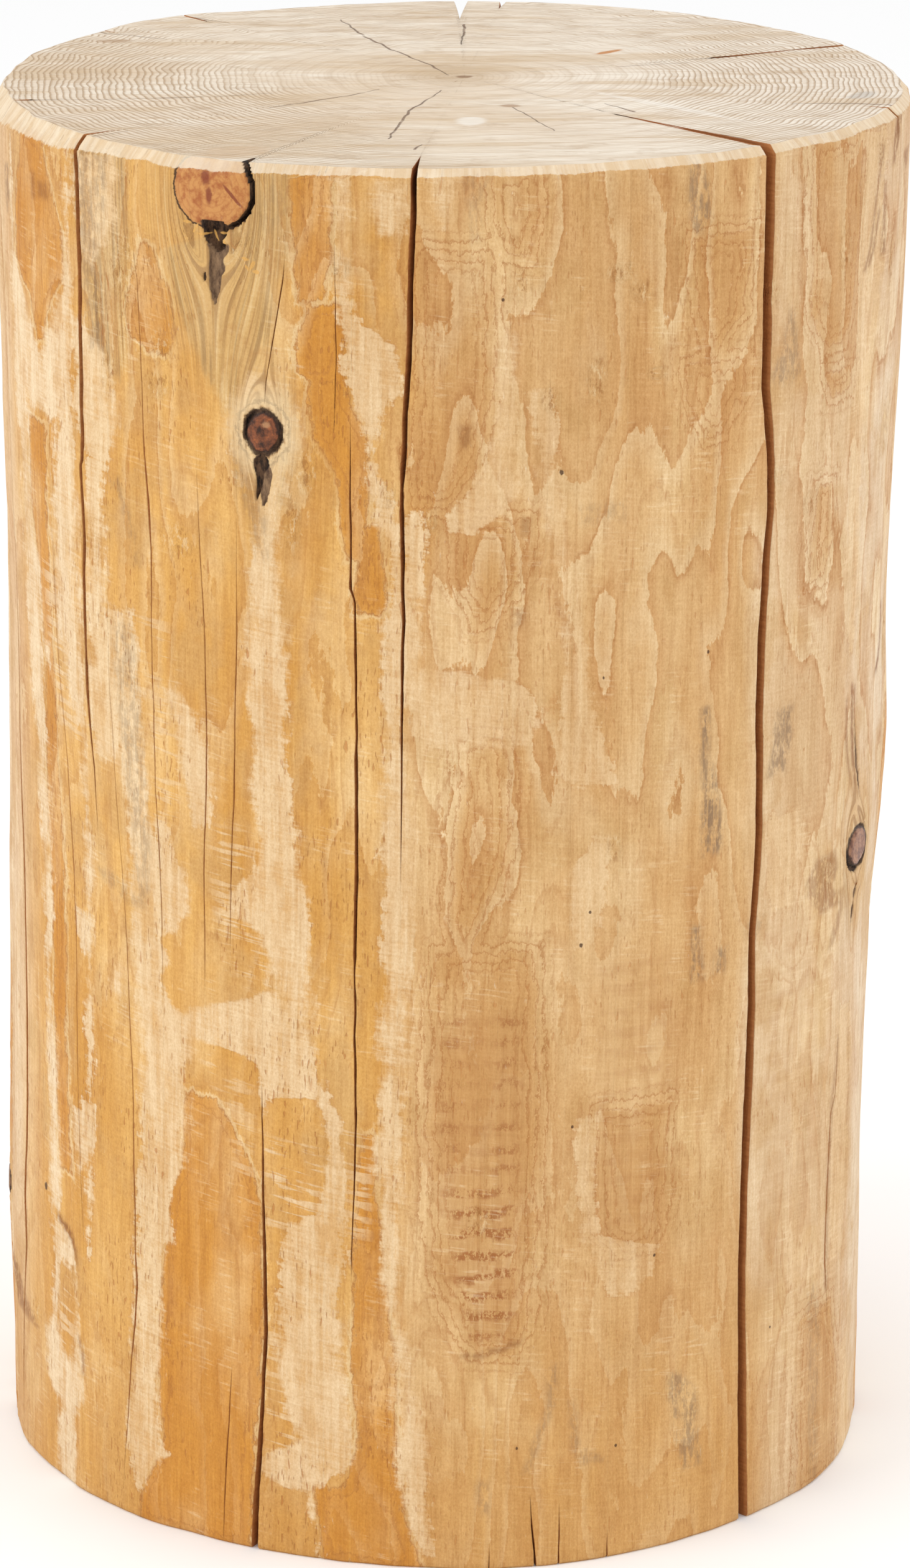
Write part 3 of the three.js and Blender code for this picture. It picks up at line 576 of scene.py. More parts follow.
def lane_centres(heights):
    """Azimuth and half width, in degrees, of each lane at each height, with a torn edge."""
    centre = np.empty((len(heights), len(LANES)))
    half = np.empty_like(centre)
    for lane, check in enumerate(LANES):
        centre[:, lane] = path_at(check["side"], heights, 1)
        width = check_width(check, heights)
        wander = field(LANE_AZIMUTH[lane] * np.ones_like(heights), heights, 40, 9, 31 + lane)
        tear = field(LANE_AZIMUTH[lane] * np.ones_like(heights), heights, 40, 3.2, 61 + lane)
        centre[:, lane] += 0.09 * wander * np.minimum(1, width + 0.3)
        half[:, lane] = width * (1 + 0.22 * tear / np.maximum(width, 1)) / 2 / ARC
    return centre, half


def place_columns(heights, reference, lane, into, side):
    """Azimuth of every vertex: columns follow the checks and spread evenly between them."""
    centre, half = lane_centres(heights)
    azimuth = np.empty((len(heights), len(reference)))
    in_lane = lane >= 0
    anchors = np.concatenate([[position - 0.04, position + 0.04] for position in LANE_AZIMUTH])
    anchors = np.concatenate([anchors[-2:] - 360, anchors, anchors[:2] + 360])
    for row in range(len(heights)):
        left = centre[row] - half[row] - SHOULDER
        right = centre[row] + half[row] + SHOULDER
        targets = np.stack([left, right], axis=1).ravel()
        targets = np.concatenate([targets[-2:] - 360, targets, targets[:2] + 360])
        azimuth[row] = np.interp(reference, anchors, targets)
        lips = centre[row][lane] + np.sign(side) * half[row][lane] * (1 - into)
        azimuth[row] = np.where(in_lane & (np.abs(side) < 2), lips, azimuth[row])
    return azimuth, half


# ---------------------------------------------------------------- building the mesh

def knot_place(knot, azimuth, height):
    """Distance from a knot's centre, 1 on its ring, with its local coordinates."""
    across = turn_between(azimuth, knot["azimuth"]) * ARC
    up = height - knot["height"]
    tilted = across + knot["tilt"] * up, up - knot["tilt"] * across
    return np.hypot(tilted[0] / knot["across"], tilted[1] / knot["up"]), tilted[0], tilted[1]


def torn_share(azimuth, height, behind):
    """How torn the grain is: at the listed places in front, scattered behind."""
    torn = np.zeros_like(azimuth)
    for centre, level, across, up in TORN:
        reach = np.hypot(turn_between(azimuth, centre) * ARC / across, (height - level) / up)
        torn = np.maximum(torn, 1 - smooth_step(reach, 0.35, 1.25))
    return np.maximum(torn, behind * smooth_step(field(azimuth, height, 24, 30, 7), 0.45, 0.8))


def add_knots(radius, azimuth, height):
    """Raises the knots and the ridges of grain round them. Gives the azimuth that each fibre comes from,
    how near a knot is, and the depth of the gaps left by lost bark."""
    flow = azimuth.copy()
    halo = np.zeros_like(azimuth)
    knot_core = np.full(azimuth.shape, 9.0)
    gap_depth = np.zeros_like(azimuth)
    for index, knot in enumerate(KNOTS):
        away, across, up = knot_place(knot, azimuth, height)
        stretched = np.hypot(across / knot["across"], up / (knot["up"] * 2.4))
        spread = 1 / np.maximum(stretched, 0.8) ** 2
        flow -= across / ARC * spread * (1 - smooth_step(stretched, 1.5, 4.5)) * 0.9
        halo = np.maximum(halo, 1 - smooth_step(stretched, 0.8, 2.6))
        knot_core = np.minimum(knot_core, away)
        clock = np.arctan2(up, across)
        open_share = 0.5 + 0.5 * np.cos(clock * (1 + index % 2) + index)
        ring_width = knot["gap"] * (0.45 + 0.55 * open_share)
        off_ring = np.abs(away - 1) * min(knot["across"], knot["up"])
        gap = 1 - smooth_step(off_ring, ring_width * 0.35, ring_width * 0.75)
        depth = gap * knot["gap_depth"] * (0.35 + 0.65 * open_share)
        if knot["name"] == "rim":
            depth *= smooth_step(across + up * 0.2, -2, 8) * 0.96 + 0.04
        gap_depth = np.maximum(gap_depth, depth)
        radius += (1 - smooth_step(away, 0.7, 1.0)) * 0.35
    ridges = np.sin(flow * ARC * 2.4 + 2 * field(azimuth, height, 9, 30, 12))
    radius += halo * smooth_step(knot_core, 1.0, 1.2) * 0.14 * ridges
    return flow, halo, gap_depth


def pocket_depths(azimuth, height):
    """Depth of the black pockets and of the grey-brown tails below the knots."""
    pocket, tail = np.zeros_like(azimuth), np.zeros_like(azimuth)
    for kind, centres, outline, depth in POCKETS:
        levels = [stop[0] for stop in outline[::-1]]
        half = np.interp(height, levels, [stop[1] / 2 for stop in outline[::-1]], left=0, right=0)
        centre = np.interp(height, [levels[0], levels[-1]], centres)
        ragged = half * (1 + 0.3 * field(azimuth, height, 2.5, 3, 14)) + 1e-3
        across = np.abs(turn_between(azimuth, centre)) * ARC / ragged
        hollow = (1 - smooth_step(across, 0.6, 1.0)) * (half > 0.2) * depth
        if kind == "black":
            pocket = np.maximum(pocket, hollow)
        else:
            tail = np.maximum(tail, hollow)
    return pocket, tail


def side_surface(azimuth, height, heights, fields):
    """Radius of the side, without checks, and the fields that its colours need."""
    trunk, trunk_step = trunk_grid()
    knife, knife_step = knife_grid()
    radius = sample(trunk, azimuth, height, trunk_step)
    strokes = sample(knife, azimuth, height, knife_step)
    radius = radius + strokes * 0.9 - 0.1
    radius += 0.16 * field(azimuth, height, 14, 45, 1) + 0.07 * field(azimuth, height, 4, 14, 2)

    pale = band_field(PALE, azimuth, height, heights)
    pale = np.minimum(pale, -band_field(AMBER_IN_PALE, azimuth, height, heights))
    pale = np.maximum(pale, band_field(PALE_IN_AMBER, azimuth, height, heights))
    behind = smooth_step(np.abs(azimuth), 74, 84)
    scattered = (-strokes - 0.28) * 18 + 4.5 * field(azimuth, height, 26, 75, 5) - 1
    pale = pale * (1 - behind) + np.clip(scattered, -9, 9) * behind
    deep = band_field(DEEP, azimuth, height, heights)
    deep_behind = 7 * field(azimuth, height, 30, 85, 6) - 3.4
    deep = deep * (1 - behind) + np.clip(deep_behind, -9, 9) * behind
    tan = band_field(TAN, azimuth, height, heights)
    radius -= 0.22 * smooth_step(pale, -0.8, 0.8)

    torn = torn_share(azimuth, height, behind)
    chips = field(azimuth, height, 1.6, 3.4, 8) + 0.7 * field(azimuth, height, 3.2, 7, 9)
    radius += torn * (0.34 * chips - 0.2)
    flow, halo, gaps = add_knots(radius, azimuth, height)
    pocket, tail = pocket_depths(azimuth, height)
    hollow = np.maximum(gaps, pocket)
    radius -= np.maximum(hollow, tail * 0.8) * (1 + 0.2 * field(azimuth, height, 2, 3, 15))

    rings = strokes * 5.5 + 1.6 * field(azimuth, height, 34, 150, 16)
    rings += 0.5 * field(azimuth, height, 9, 40, 17)
    rings += 2.2 * halo
    fields.update(
        pale=pale, deep=deep, tan=tan, torn=torn, halo=halo, flow=flow, rings=rings,
        grey=weighted_bands(GREY, azimuth, height, heights, 1.6),
        brown=weighted_bands(BROWN, azimuth, height, heights, 1.4),
        hollow=hollow, tail=tail,
        weathered=band_field(WEATHERED, azimuth, height, heights),
        chatter=weighted_bands(CHATTER, azimuth, height, heights, 3.5),
        comb=weighted_bands(COMB, azimuth, height, heights, 3.0),
    )
    return radius


SIDE_ONLY = ("inner", "chamfer", "hollow")    # what isn't carried on over the sawn ends
RIM_START, RIM_EDGE = HEIGHT - 14, HEIGHT - 5    # rows move with the chamfer's lower edge above the first
FOOT_STEPS = [0.3, 0.6, 0.85, 0.95, 0.985]       # rings of the sawn foot, as shares of its outline


def chamfered_heights(nominal, azimuth):
    """Height of every vertex, and how far the chamfer drops and reaches in there."""
    level_field = 0 * azimuth
    ragged = 0.4 * field(azimuth, level_field, 9, 50, 21) + 0.14 * field(azimuth, level_field, 2.4, 50, 22)
    drop = np.interp(azimuth, RIM_AZIMUTH, RIM_DROP) * (1 + 0.5 * ragged)
    inset = np.interp(azimuth, RIM_AZIMUTH, RIM_INSET) * (1 + 0.3 * field(azimuth, level_field, 11, 50, 23))
    level = nominal[:, None] * np.ones_like(azimuth)
    below = (level - RIM_START) / (RIM_EDGE - RIM_START) * (HEIGHT - drop - RIM_START) + RIM_START
    above = HEIGHT - drop + (level - RIM_EDGE) / (HEIGHT - RIM_EDGE) * drop
    height = np.where(level <= RIM_START, level, np.where(level <= RIM_EDGE, below, above))
    return height, drop, inset


def carve_checks(radius, azimuth, height, half, lane, into):
    check_depth = np.array([check["depth"] for check in LANES])[lane]
    widest = np.array([max(stop[2] for stop in check["side"]) + 1e-6 for check in LANES])[lane]
    width = 2 * half[:, lane] * ARC
    reach = check_depth * np.sqrt(np.clip(width / widest, 0, 1)) * (lane >= 0)
    inner = reach * into
    fibres = field(azimuth * 40, height, 30, 1.3, 27) * np.minimum(inner, 1.2) * 0.12
    radius = radius - inner + fibres
    lean_in = np.array([check.get("slant", 0.0) for check in LANES])[lane] * (lane >= 0)
    away_from_ends = smooth_step(height, 3, 12) * (1 - smooth_step(height, HEIGHT - 16, RIM_EDGE))
    return radius, np.radians(azimuth) + lean_in * inner / radius * away_from_ends, inner


def ring_age(rows, rim, share, reference, lane):
    """Millimetres from the pith. Near the outline the growth rings run along it instead of round."""
    age = np.sqrt(((rows[..., :2] - PITH) ** 2).sum(-1))
    outline = np.sqrt(((rim[:, :2] - PITH) ** 2).sum(-1))
    outline = np.where(lane >= 0, np.interp(reference, reference[lane < 0], outline[lane < 0]), outline)
    blend = smooth_step(share, 0.25, 0.9)[:, None]
    return age * (1 - blend) + age / outline * outline.mean() * blend


def build_log():
    """The whole log: its side, its sawn ends and what the materials read from it."""
    reference, lane, into, side = make_columns()
    nominal = np.concatenate([[0.0, 0.35, 0.7], spaced_heights(1.0, RIM_START),
                              np.linspace(RIM_START, RIM_EDGE, 12), np.linspace(RIM_EDGE, HEIGHT, 10)[1:]])
    azimuth, half = place_columns(nominal, reference, lane, into, side)
    height, drop, inset = chamfered_heights(nominal, azimuth)

    fields = {}
    radius = side_surface(azimuth, height, nominal, fields)
    chamfer = np.clip((height - (HEIGHT - drop)) / drop, 0, 1)
    chisel = 0.16 * field(azimuth, height, 5, 2.5, 24) + 0.08 * field(azimuth, height, 1.8, 1.6, 25)
    radius -= chamfer * inset + smooth_step(chamfer, 0.05, 0.5) * (1 - chamfer) * chisel * 1.4
    radius -= (1 - smooth_step(height, 0, 1.0)) * 0.8
    radius, turn, inner = carve_checks(radius, azimuth, height, half, lane, into)
    middle = np.interp(height, LEAN_HEIGHT, LEAN)
    points = np.stack([middle + radius * np.sin(turn), -radius * np.cos(turn), height], axis=-1)

    head, head_share = make_head(points[-1])
    centre = np.array([PITH[0], PITH[1], 0.0])
    foot = np.array([centre + (points[0] - centre) * step for step in FOOT_STEPS])
    rows = np.concatenate([foot, points, head])
    share = np.concatenate([FOOT_STEPS, np.ones(len(points)), head_share])

    fields.update(inner=inner, chamfer=chamfer)
    values = {}
    for name, whole in fields.items():
        shown = 0.0 if name in SIDE_ONLY else 1.0
        foot_rows = np.repeat(whole[:1], len(foot), axis=0) * shown
        values[name] = np.concatenate([foot_rows, whole, np.repeat(whole[-1:], len(head), axis=0) * shown])
    values["age"] = ring_age(rows, points[-1], share, reference, lane)
    return make_mesh("log_wood", rows, centre, values, share < 1)


def make_head(rim):
    """Rings of the sawn head, from just inside the rim to the pith. Each ring is the rim drawn in, so the
    checks stay open across the head as far as they are deep."""
    reach = 138.0
    steps = np.concatenate([[0.4, 1.0, 1.8, 3.0], np.arange(4.8, reach - 3, 2.2)])
    share = 1 - steps / reach
    centre = np.array([PITH[0], PITH[1], HEIGHT])
    rings = centre + (rim - centre) * share[:, None, None]
    own_azimuth = np.degrees(np.arctan2(rings[..., 0], -rings[..., 1]))
    radial = np.hypot(rings[..., 0], rings[..., 1])
    saw = 0.10 * field(rings[..., 0] / ARC, rings[..., 1] + 200, 40, 2.4, 41)
    saw += 0.12 * field(own_azimuth, radial, 30, 25, 42)
    rings[..., 2] += np.minimum(saw - 0.2, 0) * smooth_step(steps, 0, 3)[:, None]
    return rings, share


def make_mesh(name, rows, foot_centre, values, sawn):
    """One closed mesh from rings of points that run up the log and in over its two ends."""
    ring_count, around = rows.shape[:2]
    head_centre = rows[-1].mean(axis=0)
    points = np.concatenate([rows.reshape(-1, 3), [foot_centre], [head_centre]]) * MM
    column = np.arange(around)
    after = (column + 1) % around
    row = np.arange(ring_count - 1)[:, None] * around
    quads = np.stack([row + column, row + after, row + around + after, row + around + column], axis=-1)
    quads = quads.reshape(-1, 4)
    foot_index, head_index = len(points) - 2, len(points) - 1
    last = (ring_count - 1) * around
    foot_fan = np.stack([after, column, np.full(around, foot_index)], axis=-1)
    head_fan = np.stack([last + column, last + after, np.full(around, head_index)], axis=-1)
    corners = np.concatenate([quads.ravel(), foot_fan.ravel(), head_fan.ravel()])
    counts = np.concatenate([np.full(len(quads), 4), np.full(2 * around, 3)])
    mesh = bpy.data.meshes.new(name)
    mesh.vertices.add(len(points))
    mesh.vertices.foreach_set("co", points.ravel())
    mesh.loops.add(len(corners))
    mesh.loops.foreach_set("vertex_index", corners.astype(np.int32))
    mesh.polygons.add(len(counts))
    mesh.polygons.foreach_set("loop_start", np.concatenate([[0], np.cumsum(counts)[:-1]]).astype(np.int32))
    mesh.polygons.foreach_set("use_smooth", np.ones(len(counts), bool))
    ends = np.zeros(len(counts), np.int32)
    ends[:len(quads)] = np.repeat(sawn[:-1] | sawn[1:], around)
    ends[len(quads):] = 1
    mesh.polygons.foreach_set("material_index", ends)
    mesh.update(calc_edges=True)
    mesh.validate()
    for label, whole in values.items():
        attribute = mesh.attributes.new(label, "FLOAT", "POINT")
        flat = np.concatenate([whole.ravel(), [whole[0].mean()], [whole[-1].mean()]])
        attribute.data.foreach_set("value", flat.astype(np.float32))
    thing = bpy.data.objects.new(name, mesh)
    bpy.context.scene.collection.objects.link(thing)
    return thing


# ---------------------------------------------------------------- materials

ALBEDO_SCALE = 0.82                     # the studio light is this much brighter than plain white light
RELIEF = 0.8 * MM                       # how high the grain and the saw marks stand


def srgb(red, green, blue):
    """A colour as it looks on screen, 0 to 255, as the linear colour that shaders take."""
    linear = []
    for channel in (red, green, blue):
        share = channel / 255
        light = share / 12.92 if share <= 0.04045 else ((share + 0.055) / 1.055) ** 2.4
        linear.append(light * ALBEDO_SCALE)
    return (*linear, 1.0)


class Shading:
    """Builds one material's nodes. A value may be a number, a colour or another node's output."""

    def __init__(self, name):
        self.material = bpy.data.materials.new(name)
        self.material.use_nodes = True
        self.nodes = self.material.node_tree.nodes
        self.links = self.material.node_tree.links
        self.nodes.clear()
        output = self.nodes.new("ShaderNodeOutputMaterial")
        self.surface = self.nodes.new("ShaderNodeBsdfPrincipled")
        self.links.new(self.surface.outputs[0], output.inputs["Surface"])

    def feed(self, socket, value):
        if isinstance(value, bpy.types.NodeSocket):
            self.links.new(value, socket)
        elif value is not None:
            socket.default_value = value

    def math(self, operation, first, second=None):
        node = self.nodes.new("ShaderNodeMath")
        node.operation = operation
        for socket, value in zip(node.inputs, (first, second)):
            self.feed(socket, value)
        return node.outputs[0]

    def add(self, *terms):
        """The sum of the terms. A pair is a noise and its amount, and lies evenly about 0."""
        terms = [self.centred(*term) if isinstance(term, tuple) else term for term in terms]
        total = terms[0]
        for term in terms[1:]:
            total = self.math("ADD", total, term)
        return total

    def times(self, *factors):
        product = factors[0]
        for factor in factors[1:]:
            product = self.math("MULTIPLY", product, factor)
        return product

    def step(self, value, low, high, to_low=0.0, to_high=1.0):
        node = self.nodes.new("ShaderNodeMapRange")
        node.interpolation_type = "SMOOTHSTEP"
        for label, number in (("From Min", low), ("From Max", high), ("To Min", to_low), ("To Max", to_high)):
            node.inputs[label].default_value = number
        self.feed(node.inputs["Value"], value)
        return node.outputs["Result"]

    def mix(self, share, first, second, blend="MIX"):
        node = self.nodes.new("ShaderNodeMix")
        node.data_type = "RGBA"
        node.blend_type = blend
        node.clamp_factor = True
        self.feed(node.inputs[0], share)
        self.feed(node.inputs[6], first)
        self.feed(node.inputs[7], second)
        return node.outputs[2]

    def hump(self, value, low, full, fading, high):
        """1 between full and fading, and 0 below low and above high."""
        return self.times(self.step(value, low, full), self.step(value, fading, high, 1.0, 0.0))

    def tones(self, value, low, high, first, second):
        """From one colour to another as the value rises from low to high."""
        return self.mix(self.step(value, low, high), srgb(*first), srgb(*second))

    def tint(self, colour, tone, *shares):
        """Lays a tone over a colour, as much as the product of the shares."""
        return self.mix(self.times(*shares), colour, srgb(*tone))

    def read(self, name):
        node = self.nodes.new("ShaderNodeAttribute")
        node.attribute_name = name
        return node.outputs["Fac"]

    def place(self):
        return self.nodes.new("ShaderNodeTexCoord").outputs["Object"]

    def vector(self, operation, first, second=None, scale=None):
        node = self.nodes.new("ShaderNodeVectorMath")
        node.operation = operation
        self.feed(node.inputs[0], first)
        if second is not None:
            self.feed(node.inputs[1], second)
        if scale is not None:
            self.feed(node.inputs["Scale"], scale)
        return node.outputs["Value" if operation in ("LENGTH", "DOT_PRODUCT") else "Vector"]

    def noise(self, place, rate, detail=2.0, roughness=0.5, shift=0.0):
        """Noise with this many cells per millimetre along each axis. The shift makes it another noise."""
        moved = self.vector("MULTIPLY", place, tuple(part / MM for part in rate))
        if shift:
            moved = self.vector("ADD", moved, (shift, shift * 0.7, shift * 1.3))
        node = self.nodes.new("ShaderNodeTexNoise")
        node.inputs["Scale"].default_value = 1.0
        node.inputs["Detail"].default_value = detail
        node.inputs["Roughness"].default_value = roughness
        self.links.new(moved, node.inputs["Vector"])
        return node.outputs["Fac"]

    def centred(self, value, amount):
        """A noise moved to lie evenly about 0, and scaled."""
        return self.times(self.math("SUBTRACT", value, 0.5), amount)

    def split(self, vector):
        node = self.nodes.new("ShaderNodeSeparateXYZ")
        self.links.new(vector, node.inputs[0])
        return node.outputs

    def join(self, x, y, z):
        node = self.nodes.new("ShaderNodeCombineXYZ")
        for socket, value in zip(node.inputs, (x, y, z)):
            self.feed(socket, value)
        return node.outputs[0]

    def dress(self, colour, relief, roughness, specular):
        """Gives the surface its looks. The relief is in units of RELIEF."""
        node = self.nodes.new("ShaderNodeBump")
        node.inputs["Strength"].default_value = 0.9
        node.inputs["Distance"].default_value = RELIEF
        self.links.new(relief, node.inputs["Height"])
        looks = {"Base Color": colour, "Normal": node.outputs[0], "Roughness": roughness,
                 "Specular IOR Level": specular}
        for label, value in looks.items():
            self.feed(self.surface.inputs[label], value)
        return self.material


def spot(shade, place, azimuth, height, across, up, lean=0.0):
    """Distance from a point on the side, 1 at these half sizes in millimetres, and far behind the log."""
    turn = math.radians(azimuth)
    outward = Vector((math.sin(turn), -math.cos(turn), 0))
    aside = Vector((math.cos(turn), math.sin(turn), lean)) / (across * MM)
    upward = Vector((0, 0, 1)) / (up * MM)
    middle = Vector((np.interp(height, LEAN_HEIGHT, LEAN), 0, height)) * MM
    away = shade.vector("SUBTRACT", place, tuple(outward * GIRTH_RADIUS * MM + middle))
    across_share = shade.vector("DOT_PRODUCT", away, tuple(aside))
    up_share = shade.vector("DOT_PRODUCT", away, tuple(upward))
    facing = shade.vector("DOT_PRODUCT", place, tuple(outward))
    behind = shade.step(facing, 0.08, 0.1, 9.0, 0.0)
    return shade.vector("LENGTH", shade.join(across_share, up_share, behind))


def head_spot(shade, place, x, y, long, short, turn):
    """Distance from a point on the head, 1 at these half sizes in millimetres."""
    angle = math.radians(turn)
    away = shade.vector("SUBTRACT", place, (x * MM, y * MM, HEIGHT * MM))
    along_axis = (math.cos(angle) / (long * MM), math.sin(angle) / (long * MM), 0)
    aside_axis = (-math.sin(angle) / (short * MM), math.cos(angle) / (short * MM), 0)
    along = shade.vector("DOT_PRODUCT", away, along_axis)
    aside = shade.vector("DOT_PRODUCT", away, aside_axis)
    return shade.vector("LENGTH", shade.join(along, aside, 0))


def drawn_line(shade, flat_place, stops, soft=0.25):
    """How much a point of the head lies on a line of straight lengths, each tapering between two widths."""
    mask = None
    for (x, y, width), (next_x, next_y, next_width) in zip(stops, stops[1:]):
        reach = Vector((next_x - x, next_y - y, 0)) * MM
        away = shade.vector("SUBTRACT", flat_place, (x * MM, y * MM, 0))
        share = shade.vector("DOT_PRODUCT", away, tuple(reach / reach.length_squared))
        share = shade.math("MAXIMUM", shade.math("MINIMUM", share, 1.0), 0.0)
        nearest = shade.vector("SCALE", tuple(reach), scale=share)
        distance = shade.vector("LENGTH", shade.vector("SUBTRACT", away, nearest))
        edge = shade.add(shade.times(share, (next_width - width) * MM / 3), width * MM / 3)
        past = shade.math("SUBTRACT", distance, edge)
        one = shade.step(past, -soft * MM, soft * MM, 1.0, 0.0)
        mask = one if mask is None else shade.math("MAXIMUM", mask, one)
    return mask


def contour(shade, value, spacing, reach):
    """Thin lines where a field steps through multiples of the spacing, near its zero."""
    step = shade.math("FRACT", shade.times(value, 1 / spacing))
    line = shade.hump(step, 0.62, 0.9, 0.9, 1.0)
    return shade.times(line, shade.step(shade.math("ABSOLUTE", value), reach, reach * 0.4))


def side_colour(shade, place, grain):
    """Colour of the planed side: amber old surface on the left, tan on the right, bared pale wood."""
    x, y, z = shade.split(place)
    around = shade.read("flow")
    slanted = shade.join(x, y, shade.add(z, shade.times(x, 0.14)))
    # fibres, saw and knife marks: noises stretched along the grain or across it
    hatch = shade.noise(slanted, (0.1, 0.1, 1.1), detail=2.0, roughness=0.6, shift=3.0)
    level_hatch = shade.noise(slanted, (0.025, 0.025, 0.42), detail=2.0, roughness=0.65, shift=9.0)
    streak = shade.noise(grain, (0.45, 0.45, 0.02), detail=3.0, roughness=0.62, shift=1.0)
    fine_streak = shade.noise(grain, (1.6, 1.6, 0.05), detail=2.0, roughness=0.6, shift=5.0)
    grit = shade.noise(place, (1.7, 1.7, 1.1), detail=2.0, roughness=0.7, shift=7.0)
    broad = shade.noise(grain, (0.045, 0.045, 0.011), detail=2.0, shift=2.0)
    cloud = shade.noise(place, (0.035, 0.035, 0.02), detail=3.0, shift=12.0)
    lobes = shade.noise(place, (0.13, 0.13, 0.06), detail=3.0, roughness=0.6, shift=13.0)
    tooth = shade.noise(place, (0.6, 0.6, 0.25), detail=3.0, roughness=0.7, shift=4.0)

    # old surface: amber on the left, tan in the middle, with a paler tone painted in as sheen towards both
    # edges as seen from the front, fully on the right and less on the left
    amber = shade.tones(broad, 0.3, 0.7, (215, 155, 73), (231, 179, 103))
    centre = shade.tones(broad, 0.3, 0.7, (212, 162, 102), (228, 186, 130))
    right = shade.tones(broad, 0.3, 0.7, (216, 176, 128), (232, 199, 156))
    edge_sheen_tone = shade.tones(broad, 0.3, 0.7, (224, 188, 147), (238, 213, 180))
    drift = shade.add(around, (broad, 14.0))
    base = shade.mix(shade.step(drift, -10.0, -1.0), amber, centre)
    base = shade.mix(shade.step(drift, 40.0, 45.0), base, right)
    # painted sheen: the paler tone at the right and left edges of the side
    base = shade.mix(shade.step(drift, 60.0, 70.0), base, edge_sheen_tone)
    base = shade.mix(shade.step(drift, -62.0, -76.0, 0.0, 0.75), base, edge_sheen_tone)
    # behind the log: amber and tan clouds with a quarter of the painted sheen tone mixed in
    behind = shade.step(shade.math("ABSOLUTE", around), 82.0, 96.0)
    back_tone = shade.mix(shade.step(cloud, 0.4, 0.6), amber, centre)
    base = shade.mix(behind, base, shade.mix(0.25, back_tone, edge_sheen_tone))

    mute = shade.noise(place, (0.05, 0.05, 0.035), detail=3.0, roughness=0.6, shift=28.0)
    base = shade.tint(base, (206, 160, 100), shade.step(mute, 0.48, 0.64, 0.0, 0.5))
    low = shade.times(shade.step(z, 0.11, 0.015), shade.step(drift, 50.0, 36.0))
    base = shade.tint(base, (214, 158, 84), low, 0.6)

    # rings and resin-stained patches, with ragged edges
    ragged = shade.add((tooth, 5.0), (lobes, 7.0), (grit, 1.2))
    tan_field = shade.add(shade.read("tan"), ragged)
    base = shade.tint(base, (206, 153, 90), shade.step(tan_field, -0.8, 0.9, 0.0, 0.6))
    deep_field = shade.add(shade.read("deep"), ragged)
    base = shade.tint(base, (210, 141, 52), shade.step(deep_field, -0.5, 0.6, 0.0, 0.85))
    base = shade.tint(base, (240, 204, 148), shade.step(cloud, 0.5, 0.75, 0.0, 0.4))
    base = shade.tint(base, (198, 140, 74), shade.step(lobes, 0.44, 0.3, 0.0, 0.18))
    shore = shade.hump(deep_field, -2.6, -1.6, -1.0, -0.3)
    base = shade.tint(base, (240, 208, 154), shore, shade.step(cloud, 0.35, 0.55), 0.6)
    brink = shade.hump(deep_field, -0.8, -0.3, -0.3, 0.2)
    base = shade.tint(base, (172, 108, 44), brink, shade.step(lobes, 0.4, 0.56), 0.5)

    # grey-brown surface round the upper knots
    weathered = shade.step(shade.add(shade.read("weathered"), ragged), -3.0, 2.0)
    base = shade.tint(base, (206, 168, 110), weathered, 0.6)
    dark_grain = shade.noise(grain, (0.6, 0.6, 0.014), detail=2.0, roughness=0.6, shift=24.0)
    base = shade.tint(base, (150, 114, 70), weathered, shade.step(dark_grain, 0.48, 0.6), 0.7)
    base = shade.tint(base, (238, 208, 156), weathered, shade.step(dark_grain, 0.44, 0.34), 0.5)

    # growth rings that the knife crossed: nested arches with a thin dark edge, strongest on the right
    swell = shade.noise(grain, (0.026, 0.026, 0.0075), detail=2.0, roughness=0.45, shift=26.0)
    arch = shade.math("FRACT", shade.add(shade.times(swell, 9.0), (tooth, 0.3), (lobes, 0.5)))
    share = shade.times(shade.step(drift, -12.0, 6.0, 0.62, 1.0), shade.step(cloud, 0.3, 0.5, 0.35, 1.0),
                        shade.step(z, 0.17, 0.27, 0.42, 1.0))
    base = shade.tint(base, (240, 210, 164), shade.step(arch, 0.0, 0.5, 0.42, 0.0), share)
    base = shade.tint(base, (202, 146, 88), shade.step(arch, 0.55, 0.97, 0.0, 0.42), share)
    arch_edge = shade.hump(arch, 0.86, 0.96, 0.96, 1.0)
    base = shade.tint(base, (176, 116, 58), arch_edge, share, shade.step(lobes, 0.4, 0.56), 0.5)

    rings = shade.add(shade.times(shade.read("rings"), 0.75), (streak, 0.8), (lobes, 0.8))
    ring = shade.math("FRACT", rings)
    late = shade.hump(ring, 0.62, 0.9, 0.9, 1.0)
    base = shade.tint(base, (180, 118, 56), late, shade.step(cloud, 0.4, 0.62), 0.3)
    deep_rings = contour(shade, deep_field, 3.4, 5.0)
    outlines = shade.math("MAXIMUM", contour(shade, tan_field, 3.0, 9.0), deep_rings)
    base = shade.tint(base, (176, 112, 52), outlines, 0.58)

    # chatter of the knife
    ripple = shade.math("SINE", shade.add(shade.times(z, 900.0), (level_hatch, 4.0), (lobes, 6.0)))
    rubbed = shade.step(shade.add(tooth, (grit, 0.9), (lobes, 0.5)), 0.4, 0.58)
    chatter = shade.times(shade.read("chatter"), shade.step(ripple, -0.4, 0.9, 0.25, 1.0), rubbed)
    base = shade.tint(base, (166, 102, 50), chatter)

